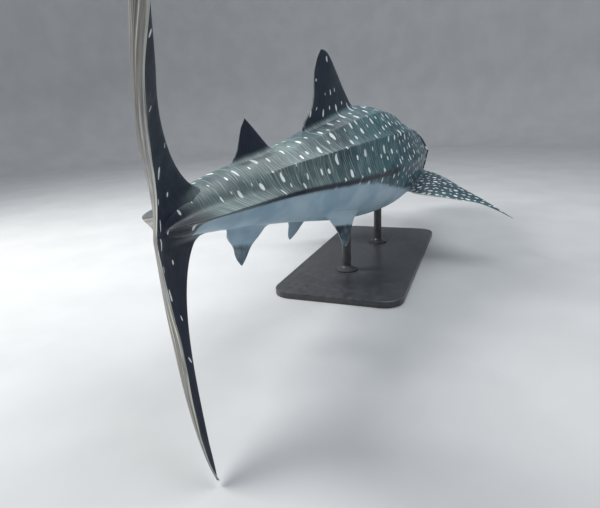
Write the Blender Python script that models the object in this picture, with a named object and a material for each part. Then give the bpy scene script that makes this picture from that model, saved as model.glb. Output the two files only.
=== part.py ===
"""A life-size whale shark swimming with its tail swept, held by a plain display stand.

Run with: blender --background --python part.py
The shark is first laid out straight. A point is (s, y, z): s is the distance behind the snout, y is to
the shark's left and z is up, all as shares of the total length. bend() then carries each point onto the
curved midline of the pose, in metres. The origin is on the floor under the middle of the stand's base.
+X points to the head, +Y to the shark's left and +Z up.
"""

import math

import bmesh
import bpy
import numpy as np
from mathutils import Matrix, Vector

# Driving dimensions, in metres
TOTAL_LENGTH = 6.5
GAP = 0.0004
TAIL_CLEARANCE = 0.03

# Body outline: share of the length behind the snout, half width, height of the back, depth of the belly
STATIONS = np.array([
    (0.00, 0.0680, 0.0190, 0.0200),
    (0.05, 0.0715, 0.0350, 0.0405),
    (0.10, 0.0750, 0.0465, 0.0560),
    (0.20, 0.0775, 0.0615, 0.0705),
    (0.30, 0.0757, 0.0785, 0.0755),
    (0.39, 0.0703, 0.0905, 0.0745),
    (0.50, 0.0590, 0.0725, 0.0630),
    (0.60, 0.0465, 0.0500, 0.0450),
    (0.70, 0.0340, 0.0350, 0.0295),
    (0.775, 0.0230, 0.0240, 0.0185),
    (0.82, 0.0115, 0.0150, 0.0135),
    (0.86, 0.0035, 0.0060, 0.0060),
])
SNOUT_ROUNDING = (0.055, 2.6)
LIP_ROUNDING = (0.030, 2.2)
HEAD_SQUARENESS = 2.6
BACK_SQUARENESS, BELLY_SQUARENESS = 1.88, 2.2

# Swimming pose: midline heading (left turn positive) and climb, in degrees, along the body
HEADING = np.array([(0.0, 10.3), (0.25, 3.0), (0.5, -13.0), (0.65, -11.7), (0.775, 1.2), (0.9, 11.5),
                    (1.0, 13.4)])
CLIMB = np.array([(0.0, -4.2), (0.5, 0.0), (0.775, 0.1), (1.0, 2.2)])
BODY_ROLL = math.radians(-1.1)
TAIL_TWIST = math.radians(5.4)
UPPER_TIP_SWEEP, LOWER_TIP_SWEEP = -0.0748, -0.0715
ROOT_CAMBER, UPPER_CAMBER, LOWER_CAMBER = 0.0193, 0.0237, 0.0167
STALK_BEND_START, STALK_BEND_LENGTH = 0.755, 0.106

# Where the body is parted into nodes
NECK_CUT, WAIST_CUT, STALK_END = 0.205, 0.60, 0.845

# Ridges along each flank: angle above the horizontal at four places, start, end, height, angular width
RIDGE_PLACES = (0.06, 0.20, 0.50, 0.78)
RIDGE_ANGLES = {
    "low": (0.0, 4.7, -0.3, 13.0),
    "middle": (32.0, 34.6, 37.5, 40.0),
    "high": (60.0, 62.0, 66.0, 70.0),
}
RIDGES = {
    "low": (0.13, 0.83, 0.0045, 7.0),
    "middle": (0.11, 0.74, 0.0042, 6.0),
    "high": (0.16, 0.70, 0.0036, 6.0),
}
KEEL_HEIGHT, KEEL_START, KEEL_FULL, KEEL_FADE, KEEL_END = 0.0125, 0.60, 0.73, 0.772, 0.818

# Gills, mouth, eyes, nostrils and spiracles
GILL_SLITS = np.linspace(0.134, 0.190, 5)
GILL_SPAN = (-46.0, 34.0)
GILL_LIFT, GILL_CUT = 0.0034, 0.0022
MOUTH_CORNER, JAW_BASE, MOUTH_GROOVE, LIP_SWELL = 0.040, 0.075, 0.0050, 0.0020
EYE_PLACE, EYE_ANGLE, EYE_RADIUS, EYE_PROUD = 0.054, -9.0, 0.032, 0.012
# Openings in the head: place, angle, height of the cutter's middle over the skin and its radii in metres
OPENINGS = {
    "nostril": (0.0072, 15.0, 0.004, (0.016, 0.026, 0.011)),
    "spiracle": (0.070, 3.0, 0.002, (0.020, 0.014, 0.011)),
}

# Fins: leading and trailing edge in the straight body, from inside the root to the tip
FIRST_DORSAL = dict(
    lead=((0.385, 0.060), (0.430, 0.1015), (0.4486, 0.1206), (0.473, 0.1492), (0.487, 0.160), (0.499, 0.162)),
    trail=((0.541, 0.045), (0.5525, 0.0665), (0.531, 0.089), (0.5225, 0.119), (0.514, 0.146), (0.499, 0.162)),
    thick=0.0068)
SECOND_DORSAL = dict(
    lead=((0.605, 0.034), (0.634, 0.0585), (0.6513, 0.0735), (0.6630, 0.0825)),
    trail=((0.683, 0.020), (0.6915, 0.0350), (0.6812, 0.0500), (0.6722, 0.0700), (0.6630, 0.0825)),
    thick=0.0040)
ANAL = dict(
    lead=((0.625, -0.028), (0.6572, -0.0505), (0.6703, -0.0578), (0.6811, -0.0688), (0.6894, -0.0755)),
    trail=((0.697, -0.020), (0.7115, -0.0370), (0.7035, -0.0490), (0.6995, -0.0632), (0.6894, -0.0755)),
    thick=0.0036)
PELVIC = dict(
    lead=((0.462, -0.45), (0.492, 0.20), (0.512, 0.62), (0.524, 0.88), (0.534, 1.00)),
    trail=((0.522, -0.45), (0.546, 0.10), (0.542, 0.50), (0.5405, 0.80), (0.534, 1.00)),
    thick=0.0036, root=(0.0330, -0.0460), tip=(0.0465, -0.0890), arch=0.0, pitch=0.0, pivot=0.52)
PECTORAL = dict(
    lead=((0.200, -0.30), (0.237, 0.1625), (0.277, 0.474), (0.303, 0.762), (0.3185, 0.93), (0.3265, 1.03)),
    trail=((0.305, -0.30), (0.3292, 0.03), (0.3275, 0.25), (0.3200, 0.47), (0.3180, 0.75), (0.3265, 1.03)),
    thick=0.0072, root=(0.0690, -0.0400), tip=(0.2210, -0.0815), arch=0.010, pitch=24.0, pivot=0.27)
UPPER_TIP, LOWER_TIP, FORK, LOBE_SPLIT = (0.9974, 0.1829), (0.9209, -0.1533), (0.861, 0.008), 0.006
UPPER_LOBE = dict(
    lead=((0.755, 0.022), (0.812, 0.040), (0.9074, 0.1329), (0.9774, 0.1789), UPPER_TIP),
    trail=(FORK, (0.861, 0.045), (0.921, 0.070), (0.9874, 0.1429), UPPER_TIP),
    thick=0.0062)
LOWER_LOBE = dict(
    lead=((0.772, -0.022), (0.810, -0.045), (0.835, -0.085), (0.9089, -0.1493), LOWER_TIP),
    trail=(FORK, (0.857, -0.030), (0.869, -0.070), (0.9199, -0.1233), LOWER_TIP),
    thick=0.0056)
FIN_EDGE = 0.0022

# Display stand, in metres
ROD_PLACES = {"stand_rod_front": 0.275, "stand_rod_rear": 0.445}
ROD_RADIUS, ROD_FOOT_RADIUS, ROD_FOOT_HEIGHT, ROD_SIDES = 0.045, 0.110, 0.030, 24
BASE_LENGTH, BASE_WIDTH, BASE_THICKNESS, BASE_CORNER, BASE_BEVEL = 2.60, 1.20, 0.060, 0.18, 0.008

SLATE = (0.055, 0.090, 0.110)
UNDERSIDE = (0.42, 0.55, 0.62)
DARK_FIN = (0.030, 0.055, 0.085)
EYE_BLACK = (0.010, 0.010, 0.012)
STAND_GREY = (0.060, 0.062, 0.066)
EYE_ROUGHNESS = 0.15


def ease(low, high, x):
    """Smooth step from 0 at low to 1 at high."""
    t = np.clip((np.asarray(x, float) - low) / (high - low), 0, 1)
    return t * t * (3 - 2 * t)


def natural_spline(places, values):
    """The natural cubic spline through the values at the places, as a function."""
    x, y = np.asarray(places, float), np.asarray(values, float)
    h = np.diff(x)
    system, right = np.eye(len(x)), np.zeros(len(x))
    for i in range(1, len(x) - 1):
        system[i, i - 1:i + 2] = h[i - 1], 2 * (h[i - 1] + h[i]), h[i]
        right[i] = 6 * ((y[i + 1] - y[i]) / h[i] - (y[i] - y[i - 1]) / h[i - 1])
    curve = np.linalg.solve(system, right)

    def value(at):
        at = np.asarray(at, float)
        i = np.clip(np.searchsorted(x, at) - 1, 0, len(h) - 1)
        a, b = (x[i + 1] - at) / h[i], (at - x[i]) / h[i]
        return a * y[i] + b * y[i + 1] + ((a**3 - a) * curve[i] + (b**3 - b) * curve[i + 1]) * h[i]**2 / 6

    return value


def curve_through(points):
    """A smooth plane curve through the points, as a function of its share of length from 0 to 1."""
    p = np.array(points, float)
    run = np.concatenate([[0], np.cumsum(np.hypot(*np.diff(p, axis=0).T))])
    along, across = natural_spline(run / run[-1], p[:, 0]), natural_spline(run / run[-1], p[:, 1])
    return lambda t: np.stack([along(t), across(t)], -1)


def bezier(points):
    """The Bezier curve of the control points, as a function of t from 0 to 1."""
    p = np.array(points, float)
    n = len(p) - 1

    def value(t):
        t = np.asarray(t, float)[..., None]
        return sum(math.comb(n, k) * t**k * (1 - t)**(n - k) * p[k] for k in range(n + 1))

    return value


half_width = natural_spline(STATIONS[:, 0], STATIONS[:, 1])
back_height = natural_spline(STATIONS[:, 0], STATIONS[:, 2])
belly_depth = natural_spline(STATIONS[:, 0], STATIONS[:, 3])


def rounded_end(s, rounding):
    """1 behind the snout, falling to 0 at its tip along a superellipse."""
    length, power = rounding
    return (1 - np.clip(1 - s / length, 0, 1)**power)**(1 / power)


def ridge_angle(name, s):
    return np.interp(s, RIDGE_PLACES, RIDGE_ANGLES[name])


def gill_relief(s, angle):
    """Each gill flap rises towards its free rear edge and drops into the slit behind it."""
    low, high = GILL_SPAN
    window = ease(low, low + 14, angle) * ease(high, high - 14, angle)
    reach = GILL_SLITS[1] - GILL_SLITS[0]
    relief = np.zeros(np.broadcast(s, angle).shape)
    for slit in GILL_SLITS:
        offset = (s - slit) / reach
        rise = np.clip(offset + 0.75, 0, 0.65) / 0.65 * (offset < 0)
        drop = -np.clip(1 - offset / 0.25, 0, 1) * (offset >= 0)
        relief = relief + GILL_LIFT * rise**1.5 + GILL_CUT * drop
    return relief * window


def body_surface(s, angle):
    """(y, z) of the skin at s, where angle is the direction from the midline, in degrees: 0 at the left,
    90 at the back, 180 at the right and 270 at the belly. Each section is a superellipse, with the flank
    ridges, keels, gill flaps, lips and mouth line added along the radius."""
    s, angle = np.broadcast_arrays(np.asarray(s, float), np.asarray(angle, float))
    a = np.radians(angle)
    side = np.degrees(np.arcsin(np.clip(np.sin(a), -1, 1)))
    trunk = BELLY_SQUARENESS + (BACK_SQUARENESS - BELLY_SQUARENESS) * ease(-10, 30, side)
    power = trunk + (HEAD_SQUARENESS - trunk) * ease(0.24, 0.05, s)
    width = half_width(s) * rounded_end(s, SNOUT_ROUNDING)
    height = np.where(side > 0, back_height(s), belly_depth(s)) * rounded_end(s, LIP_ROUNDING)
    width, height = np.maximum(width, 1e-5), np.maximum(height, 1e-5)
    radius = ((np.abs(np.cos(a)) / width)**power + (np.abs(np.sin(a)) / height)**power)**(-1 / power)
    for name, (start, end, lift, spread) in RIDGES.items():
        crest = lift * ease(start, start + 0.08, s) * ease(end, end - 0.06, s)
        if name == "low":
            crest = crest + KEEL_HEIGHT * ease(KEEL_START, KEEL_FULL, s) * ease(KEEL_END, KEEL_FADE, s)
        radius = radius + crest * np.exp(-np.abs((side - ridge_angle(name, s)) / spread)**1.3)
    near_mouth = ease(MOUTH_CORNER + 0.010, MOUTH_CORNER - 0.012, s)
    lips = LIP_SWELL * np.exp(-((np.abs(side) - 13) / 9)**2) * ease(0, 0.02, s)
    groove = MOUTH_GROOVE * np.exp(-(side / 3.2)**2) * ease(0, 0.012, s)
    radius = radius + near_mouth * (lips - groove) + gill_relief(s, side)
    return radius * np.cos(a), radius * np.sin(a)


STEPS = np.linspace(-0.05, 1.05, 881)
CLIMB_OF, HEADING_OF = natural_spline(*CLIMB.T), natural_spline(*HEADING.T)


def midline():
    """The midline's points at STEPS, found by walking back from the snout along the heading and climb."""
    heading, climb = np.radians(HEADING_OF(STEPS)), np.radians(CLIMB_OF(STEPS))
    back = -np.stack([np.cos(heading) * np.cos(climb), np.sin(heading) * np.cos(climb), np.sin(climb)], -1)
    step = (back[1:] + back[:-1]) / 2 * (STEPS[1] - STEPS[0])
    points = np.concatenate([np.zeros((1, 3)), np.cumsum(step, axis=0)])
    return points - [np.interp(sum(ROD_PLACES.values()) / 2, STEPS, points[:, k]) for k in range(3)]


MIDLINE = midline()


def bend(s, y, z, lift=0.0):
    """World points, in metres, of the points (s, y, z) of the straight shark, lift metres above the floor."""
    s, y, z = np.broadcast_arrays(*[np.asarray(v, float) for v in (s, y, z)])
    heading, climb = np.radians(HEADING_OF(s)), np.radians(CLIMB_OF(s))
    roll = BODY_ROLL + TAIL_TWIST * np.clip((s - 0.6) / 0.3, 0, 1)**1.5
    centre = np.stack([np.interp(s, STEPS, MIDLINE[:, k]) for k in range(3)], -1)
    ahead = np.stack([np.cos(heading) * np.cos(climb), np.sin(heading) * np.cos(climb), np.sin(climb)], -1)
    left = np.stack([-np.sin(heading), np.cos(heading), 0 * heading], -1)
    up = np.cross(ahead, left)
    cos_roll, sin_roll = np.cos(roll)[..., None], np.sin(roll)[..., None]
    sideways, upright = left * cos_roll + up * sin_roll, up * cos_roll - left * sin_roll
    return (centre + y[..., None] * sideways + z[..., None] * upright) * TOTAL_LENGTH + [0, 0, lift]


def stalk_bend(s):
    """Sideways shift of the tail stalk, which runs into the cupped tail fin."""
    return -ROOT_CAMBER * np.clip((s - STALK_BEND_START) / STALK_BEND_LENGTH, 0, 1.2)**2


def lobe_bend(z, chord_share, height_share, camber):
    """Sideways shift of a tail lobe: its tip trails to the right and its rear edge curls to the right."""
    upper, lower = np.clip(z / 0.165, 0, None)**1.6, np.clip(-z / 0.14, 0, None)**1.6
    sweep = UPPER_TIP_SWEEP * upper + LOWER_TIP_SWEEP * lower
    curl = ROOT_CAMBER + (camber - ROOT_CAMBER) * ease(0, 0.5, height_share)
    return sweep - curl * ease(1.15, 0.75, height_share) * chord_share**2


AXIS_HEIGHT = TAIL_CLEARANCE - bend(LOWER_TIP[0], LOWER_TIP_SWEEP, LOWER_TIP[1])[2]


def section_angles(s):
    """Directions of one ring of points, closer together along the mouth line, the ridges and the keel."""
    low, middle, high = (ridge_angle(name, s) for name in ("low", "middle", "high"))
    left = np.concatenate([
        np.linspace(-90, low - 12, 7), [low - 4.5, low, low + 4.5, low + 12],
        [middle - 7, middle, middle + 7, high - 7, high, high + 7], [(high + 97) / 2]])
    return np.concatenate([left, [90], 180 - left[:0:-1]])


def body_rows():
    """Distances behind the snout of the rings of points: closer at the lips, the gills and the keel."""
    snout = 0.06 * (1 - np.cos(np.linspace(0, math.pi / 2, 9)[1:]))
    gills = (GILL_SLITS[:, None] + [-0.0095, -0.0050, -0.0009, 0.0009]).ravel()
    keel = [0.775, 0.79, 0.803, 0.816, 0.83, STALK_END]
    return {
        "head": np.concatenate([snout, [0.074, 0.088, 0.102, 0.114], gills, [0.199, NECK_CUT]]),
        "trunk": np.linspace(NECK_CUT, WAIST_CUT, 19),
        "tail_stalk": np.concatenate([np.linspace(WAIST_CUT, 0.76, 9), keel]),
    }


def painted(name, mesh, colour, roughness):
    """An object of the mesh, with a material of its own."""
    obj = bpy.data.objects.new(name, mesh)
    bpy.context.scene.collection.objects.link(obj)
    material = bpy.data.materials.new(name)
    material.use_nodes = True
    shader = material.node_tree.nodes["Principled BSDF"]
    shader.inputs["Base Color"].default_value = (*colour, 1.0)
    shader.inputs["Roughness"].default_value = roughness
    mesh.materials.append(material)
    return obj


def new_object(name, points, faces, colour, roughness=0.55, smooth=True):
    """An object from its points and faces."""
    mesh = bpy.data.meshes.new(name)
    mesh.from_pydata([tuple(map(float, p)) for p in points], [], [tuple(map(int, f)) for f in faces])
    if smooth:
        mesh.shade_smooth()
    return painted(name, mesh, colour, roughness)


def helper(obj):
    """Keeps a cutter out of the render and of the part."""
    obj.hide_render = True
    obj.display_type = "WIRE"
    return obj


def tube_faces(rings, around, first_pole, last_pole):
    """Triangles of a closed tube of rings, split alike on both sides, whose ends close on one point each."""
    faces = []
    for i in range(rings - 1):
        for j in range(around):
            a, b = i * around + j, i * around + (j + 1) % around
            c, d = b + around, a + around
            faces += [(a, b, c), (a, c, d)] if j < around // 2 else [(a, b, d), (b, c, d)]
    last = (rings - 1) * around
    for j in range(around):
        k = (j + 1) % around
        faces += [(first_pole, k, j), (last_pole, last + j, last + k)]
    return faces


def body_points(rows, swell=0.0):
    """Points of the body's rings, pushed out by swell metres, with the two end points after them."""
    out = swell / TOTAL_LENGTH
    rows = np.concatenate([rows[:-1], [rows[-1] + out]])
    angles = np.stack([section_angles(s) for s in rows])
    s = np.repeat(rows[:, None], angles.shape[1], 1)
    y, z = body_surface(s, angles)
    a = np.radians(angles)
    y, z = y + out * np.cos(a), z + out * np.sin(a)
    points = bend(s, y + stalk_bend(s), z, AXIS_HEIGHT).reshape(-1, 3)
    nose = 0.0 - out if rows[0] < 0.01 else rows[0]
    ends = [bend(e, stalk_bend(e), 0.0, AXIS_HEIGHT) for e in (nose, rows[-1])]
    return np.concatenate([points, ends]), angles.shape[1]


def body_node(name, rows, colour, swell=0.0):
    points, around = body_points(rows, swell)
    faces = [f[::-1] for f in tube_faces(len(rows), around, len(points) - 2, len(points) - 1)]
    return new_object(name, points, faces, colour)


def edge_thickness(share):
    """Half thickness along the chord, as a share of the greatest: round in front, fine behind."""
    front = 2.969 * np.sqrt(share) - 1.26 * share
    return front - 3.516 * share**2 + 2.843 * share**3 - 1.036 * share**4


def fin_grid(lead, trail, thick, heights, around):
    """(share of chord, side, half thickness, place) of a fin's points. Each ring runs from the leading
    edge along one face to the trailing edge and back along the other."""
    turn = np.linspace(0, 2 * math.pi, around, endpoint=False)
    share = (1 - np.cos(turn)) / 2
    t = heights[:, None]
    place = lead(heights)[:, None] * (1 - share[:, None]) + trail(heights)[:, None] * share[:, None]
    chord = np.linalg.norm(trail(heights) - lead(heights), axis=-1)[:, None]
    taper = np.minimum(1.0, (chord / chord.max())**0.8) * (1 - 0.35 * t)
    side = np.sin(turn)
    half = thick * taper * edge_thickness(share) * np.sign(side) + FIN_EDGE / TOTAL_LENGTH * side
    return share, t, half, place


def fin_faces(rings, around):
    """Triangles of a fin, split alike on both faces, with a flat root and one point at the tip."""
    faces = []
    for i in range(rings - 1):
        for j in range(around):
            a, b = i * around + j, i * around + (j + 1) % around
            c, d = b + around, a + around
            faces += [(a, b, c), (a, c, d)] if j < around // 2 else [(a, b, d), (b, c, d)]
    last = (rings - 1) * around
    tip = rings * around
    faces += [(last + j, last + (j + 1) % around, tip) for j in range(around)]
    root = [(j, around - j) for j in range(1, around // 2)]
    faces.append((0, root[0][1], root[0][0]))
    for (a, b), (c, d) in zip(root, root[1:]):
        faces += [(a, b, c), (b, d, c)]
    faces.append((root[-1][0], root[-1][1], around // 2))
    return faces


def fin_node(name, points, tip, around, colour, mirrored=False):
    """A fin from its rings of world points and its tip."""
    rings = len(points)
    faces = fin_faces(rings, around)
    if mirrored:
        faces = [f[::-1] for f in faces]
    return new_object(name, np.concatenate([points.reshape(-1, 3), [tip]]), faces, colour)


def upright_fin(name, fin, rings, around, colour, below=False):
    """A fin in the middle plane, on the back or the belly."""
    lead, trail = curve_through(fin["lead"]), curve_through(fin["trail"])
    heights = np.linspace(0, 1, rings + 1)[:-1]**0.9
    _, _, half, place = fin_grid(lead, trail, fin["thick"], heights, around)
    points = bend(place[..., 0], half, place[..., 1], AXIS_HEIGHT)
    tip = lead(1.0)
    return fin_node(name, points, bend(tip[0], 0.0, tip[1], AXIS_HEIGHT), around, colour, mirrored=below)


def paired_fin(name, fin, side, rings, around, colour):
    """A pectoral or pelvic fin: its span leaves the flank from root to tip, and its chord lies along the
    body, pitched up in front. side is 1 at the left and -1 at the right."""
    lead, trail = curve_through(fin["lead"]), curve_through(fin["trail"])
    heights = np.linspace(0, 1, rings + 1)[:-1]**0.9
    _, _, half, place = fin_grid(lead, trail, fin["thick"], heights, around)
    root, tip = np.array(fin["root"]), np.array(fin["tip"])
    span = tip - root
    normal = np.array([-span[1], span[0]]) / np.hypot(*span)
    slope = math.tan(math.radians(fin["pitch"]))

    def at(s, reach, out):
        outside = np.clip(reach, 0, 1)
        lift = (fin["pivot"] - s) * slope * (1 - 0.6 * outside) * np.clip(reach + 0.5, 0, 1)
        arch = fin["arch"] * 4 * outside * (1 - outside)
        y = root[0] + span[0] * reach + normal[0] * out
        z = root[1] + span[1] * reach + normal[1] * out + lift + arch
        return bend(s, side * y, z, AXIS_HEIGHT)

    points = at(place[..., 0], place[..., 1], half)
    end = lead(1.0)
    return fin_node(name, points, at(end[0], end[1], 0.0), around, colour, mirrored=side > 0)


def tail_lobe(name, lobe, camber, rings, around, colour, below=False):
    """One lobe of the tail fin, cupped and swept to the right."""
    lead, trail = bezier(lobe["lead"]), bezier(lobe["trail"])
    heights = np.linspace(0, 1, rings + 1)[:-1]**0.95
    share, t, half, place = fin_grid(lead, trail, lobe["thick"], heights, around)
    split = LOBE_SPLIT + (-1 if below else 1) * GAP / 2 / TOTAL_LENGTH
    s, z = place[..., 0], place[..., 1]
    z = np.where(t == 0, split, z)
    y = half + lobe_bend(z, share[None], t, camber)
    points = bend(s, y, z, AXIS_HEIGHT)
    tip = lead(1.0)
    end = bend(tip[0], lobe_bend(tip[1], 0.0, 1.0, camber), tip[1], AXIS_HEIGHT)
    return fin_node(name, points, end, around, colour, mirrored=below)


def cut(obj, cutter, operation="DIFFERENCE"):
    """A Boolean with the exact solver."""
    modifier = obj.modifiers.new(operation.lower(), "BOOLEAN")
    modifier.operation = operation
    modifier.object = cutter
    modifier.solver = "EXACT"


def jaw_wedge(name, gap):
    """The wedge below the mouth line and in front of the jaw's hinge line, drawn in by gap metres."""
    g = gap / TOTAL_LENGTH
    outline = [(-0.03, -g), (MOUTH_CORNER - g, -g), (JAW_BASE - g, -0.12), (-0.03, -0.12)]
    points = [bend(s, side * 0.13, z, AXIS_HEIGHT) for side in (-1, 1) for s, z in outline]
    faces = [(0, 1, 2, 3), (7, 6, 5, 4)] + [(k + 4, (k + 1) % 4 + 4, (k + 1) % 4, k) for k in range(4)]
    return helper(new_object(name, points, faces, SLATE, smooth=False))


def ball(name, centre, radii, colour, rings=10, around=16):
    """A sphere, stretched along X, Y and Z to the radii in metres, as a node or a cutter."""
    mesh = bpy.data.meshes.new(name)
    shape = bmesh.new()
    bmesh.ops.create_uvsphere(shape, u_segments=around, v_segments=rings, radius=1.0)
    place = Matrix.LocRotScale(Vector(centre), None, Vector(radii))
    bmesh.ops.transform(shape, matrix=place, verts=shape.verts)
    shape.to_mesh(mesh)
    shape.free()
    mesh.shade_smooth()
    return painted(name, mesh, colour, EYE_ROUGHNESS)


def skin_point(s, angle, out=0.0):
    """World point out metres off the skin."""
    y, z = body_surface(s, angle)
    a, off = math.radians(angle), out / TOTAL_LENGTH
    return bend(s, float(y) + off * math.cos(a), float(z) + off * math.sin(a), AXIS_HEIGHT)


def mirrored_angle(angle, side):
    return angle if side > 0 else 180 - angle


def head_and_jaw(rows):
    """The head with its eye sockets, nostrils and spiracles, the lower jaw and the eyes."""
    head = body_node("head", rows, SLATE)
    jaw = body_node("lower_jaw", rows, UNDERSIDE)
    cut(head, jaw_wedge("jaw_space", 0.0))
    cut(jaw, jaw_wedge("jaw_shape", GAP), "INTERSECT")
    for side, word in ((1, "left"), (-1, "right")):
        centre = skin_point(EYE_PLACE, mirrored_angle(EYE_ANGLE, side), EYE_PROUD - EYE_RADIUS)
        ball(f"eye_{word}", centre, (EYE_RADIUS,) * 3, EYE_BLACK)
        cut(head, helper(ball(f"socket_{word}", centre, (EYE_RADIUS + GAP,) * 3, EYE_BLACK)))
        for opening, (place, angle, out, radii) in OPENINGS.items():
            centre = skin_point(place, mirrored_angle(angle, side), out)
            cut(head, helper(ball(f"{opening}_space_{word}", centre, radii, SLATE, rings=6, around=10)))


def turned(name, profile, centre, colour):
    """A round piece about an upright axis, from its (radius, height) profile."""
    turn = np.linspace(0, 2 * math.pi, ROD_SIDES, endpoint=False)
    points = [(centre[0] + r * math.cos(a), centre[1] + r * math.sin(a), z) for r, z in profile for a in turn]
    points += [(centre[0], centre[1], profile[0][1]), (centre[0], centre[1], profile[-1][1])]
    faces = tube_faces(len(profile), ROD_SIDES, len(points) - 2, len(points) - 1)
    return new_object(name, points, faces, colour, 0.35)


def display_stand(body):
    """A flat base and two rods up to the belly."""
    for name, place in ROD_PLACES.items():
        foot = bend(place, 0.0, 0.0, AXIS_HEIGHT)
        floor = BASE_THICKNESS + GAP
        profile = [(ROD_FOOT_RADIUS, floor), (ROD_FOOT_RADIUS, floor + ROD_FOOT_HEIGHT * 0.4),
                   (ROD_RADIUS * 1.25, floor + ROD_FOOT_HEIGHT), (ROD_RADIUS, floor + ROD_FOOT_HEIGHT * 1.6),
                   (ROD_RADIUS, foot[2] - 0.20)]
        cut(turned(name, profile, foot, STAND_GREY), body)
    corners = []
    for k, (sx, sy) in enumerate(((1, 1), (-1, 1), (-1, -1), (1, -1))):
        for a in np.linspace(k * 90, k * 90 + 90, 7):
            corners.append((sx * (BASE_LENGTH / 2 - BASE_CORNER) + BASE_CORNER * math.cos(math.radians(a)),
                            sy * (BASE_WIDTH / 2 - BASE_CORNER) + BASE_CORNER * math.sin(math.radians(a))))
    n = len(corners)
    points = [(x, y, z) for z in (0.0, BASE_THICKNESS) for x, y in corners]
    faces = [tuple(range(n))[::-1], tuple(range(n, 2 * n))]
    faces += [(k, (k + 1) % n, (k + 1) % n + n, k + n) for k in range(n)]
    base = new_object("stand_base", points, faces, STAND_GREY, 0.4, smooth=False)
    bevel = base.modifiers.new("soft_edge", "BEVEL")
    bevel.width, bevel.segments, bevel.limit_method = BASE_BEVEL, 2, "ANGLE"
    bevel.angle_limit = math.radians(40)


def build():
    for obj in list(bpy.data.objects):
        bpy.data.objects.remove(obj)
    rows = body_rows()
    all_rows = np.unique(np.concatenate(list(rows.values())))
    whole = helper(body_node("whole_body", all_rows, SLATE, swell=GAP))
    gap = GAP / TOTAL_LENGTH
    head_and_jaw(rows["head"])
    body_node("trunk", np.concatenate([[NECK_CUT + gap], rows["trunk"][1:]]), SLATE)
    body_node("tail_stalk", np.concatenate([[WAIST_CUT + gap], rows["tail_stalk"][1:]]), SLATE)
    fins = [
        upright_fin("first_dorsal_fin", FIRST_DORSAL, 12, 20, DARK_FIN),
        upright_fin("second_dorsal_fin", SECOND_DORSAL, 9, 16, DARK_FIN),
        upright_fin("anal_fin", ANAL, 9, 16, DARK_FIN, below=True),
        tail_lobe("tail_upper_lobe", UPPER_LOBE, UPPER_CAMBER, 16, 24, DARK_FIN),
        tail_lobe("tail_lower_lobe", LOWER_LOBE, LOWER_CAMBER, 14, 24, DARK_FIN, below=True),
    ]
    for side, word in ((1, "left"), (-1, "right")):
        fins.append(paired_fin(f"pectoral_fin_{word}", PECTORAL, side, 14, 22, SLATE))
        fins.append(paired_fin(f"pelvic_fin_{word}", PELVIC, side, 8, 16, DARK_FIN))
    for fin in fins:
        cut(fin, whole)
    display_stand(whole)


build()
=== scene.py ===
"""The looks of the whale shark model: one skin with its gills, mouth, lids and markings, the eyes, the
painted display stand and a plain studio.

The shark is first laid out straight, as in the solids. A point is (s, y, z): s is the distance behind the
snout, y is to the shark's left and z is up, all as shares of the total length. bend() then carries each
point onto the curved midline of the pose, in metres. The skin is made of grids of points: the body is a
tube of rings, each fin is a tube of rings that flares out onto the body, and a small ring lies round each
eye, spiracle and nostril.
"""

import math

import bpy
import numpy as np
from mathutils import Matrix

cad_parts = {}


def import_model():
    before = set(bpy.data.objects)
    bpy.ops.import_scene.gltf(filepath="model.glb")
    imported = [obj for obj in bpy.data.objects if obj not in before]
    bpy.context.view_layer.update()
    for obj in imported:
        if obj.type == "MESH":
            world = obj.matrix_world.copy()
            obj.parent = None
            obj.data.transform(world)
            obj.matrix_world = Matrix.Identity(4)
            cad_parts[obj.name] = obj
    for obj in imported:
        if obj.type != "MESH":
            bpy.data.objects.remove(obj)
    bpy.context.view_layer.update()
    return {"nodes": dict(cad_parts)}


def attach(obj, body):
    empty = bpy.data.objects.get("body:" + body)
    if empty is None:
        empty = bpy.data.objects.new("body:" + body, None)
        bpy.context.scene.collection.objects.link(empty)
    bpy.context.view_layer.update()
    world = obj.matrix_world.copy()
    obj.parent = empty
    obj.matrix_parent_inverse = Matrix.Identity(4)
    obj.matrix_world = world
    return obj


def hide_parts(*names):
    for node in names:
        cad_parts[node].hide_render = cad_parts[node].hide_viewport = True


# Driving dimensions, in metres and shares of the total length. They are those of the solids, but for the
# tail fin's cup, the lower lobe's front, the pelvic fins, the ridges, the keels, the gills and the nostrils,
# which are tuned a little further here.
TOTAL_LENGTH = 6.5
TAIL_CLEARANCE = 0.03
STATIONS = np.array([
    (0.00, 0.0680, 0.0190, 0.0200),
    (0.05, 0.0715, 0.0350, 0.0405),
    (0.10, 0.0750, 0.0465, 0.0560),
    (0.20, 0.0775, 0.0615, 0.0705),
    (0.30, 0.0757, 0.0785, 0.0755),
    (0.39, 0.0703, 0.0905, 0.0745),
    (0.50, 0.0590, 0.0725, 0.0630),
    (0.60, 0.0465, 0.0500, 0.0450),
    (0.70, 0.0340, 0.0350, 0.0295),
    (0.775, 0.0230, 0.0240, 0.0185),
    (0.82, 0.0115, 0.0150, 0.0135),
    (0.86, 0.0035, 0.0060, 0.0060),
])
# Where the stations stop, where the skin closes, and the last place at which the skin is measured
BODY_END, BODY_POLE, LAST_PLACE = 0.86, 0.8608, 0.859
SNOUT_ROUNDING = (0.055, 2.6)
LIP_ROUNDING = (0.030, 2.2)
HEAD_SQUARENESS = 2.6
BACK_SQUARENESS, BELLY_SQUARENESS = 1.88, 2.2
# Angles between which the belly's section becomes the back's, and places from the trunk's to the head's
BELLY_TO_BACK, TRUNK_TO_HEAD = (-10, 30), (0.24, 0.05)
# The stalk's width shrinks by a share from start to end, then its width and height close inside the tail fin
STALK_FINING, STALK_WIDTH_CLOSING, STALK_HEIGHT_CLOSING = (0.795, 0.855, 0.72), (0.861, 0.848), (0.861, 0.838)

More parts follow.
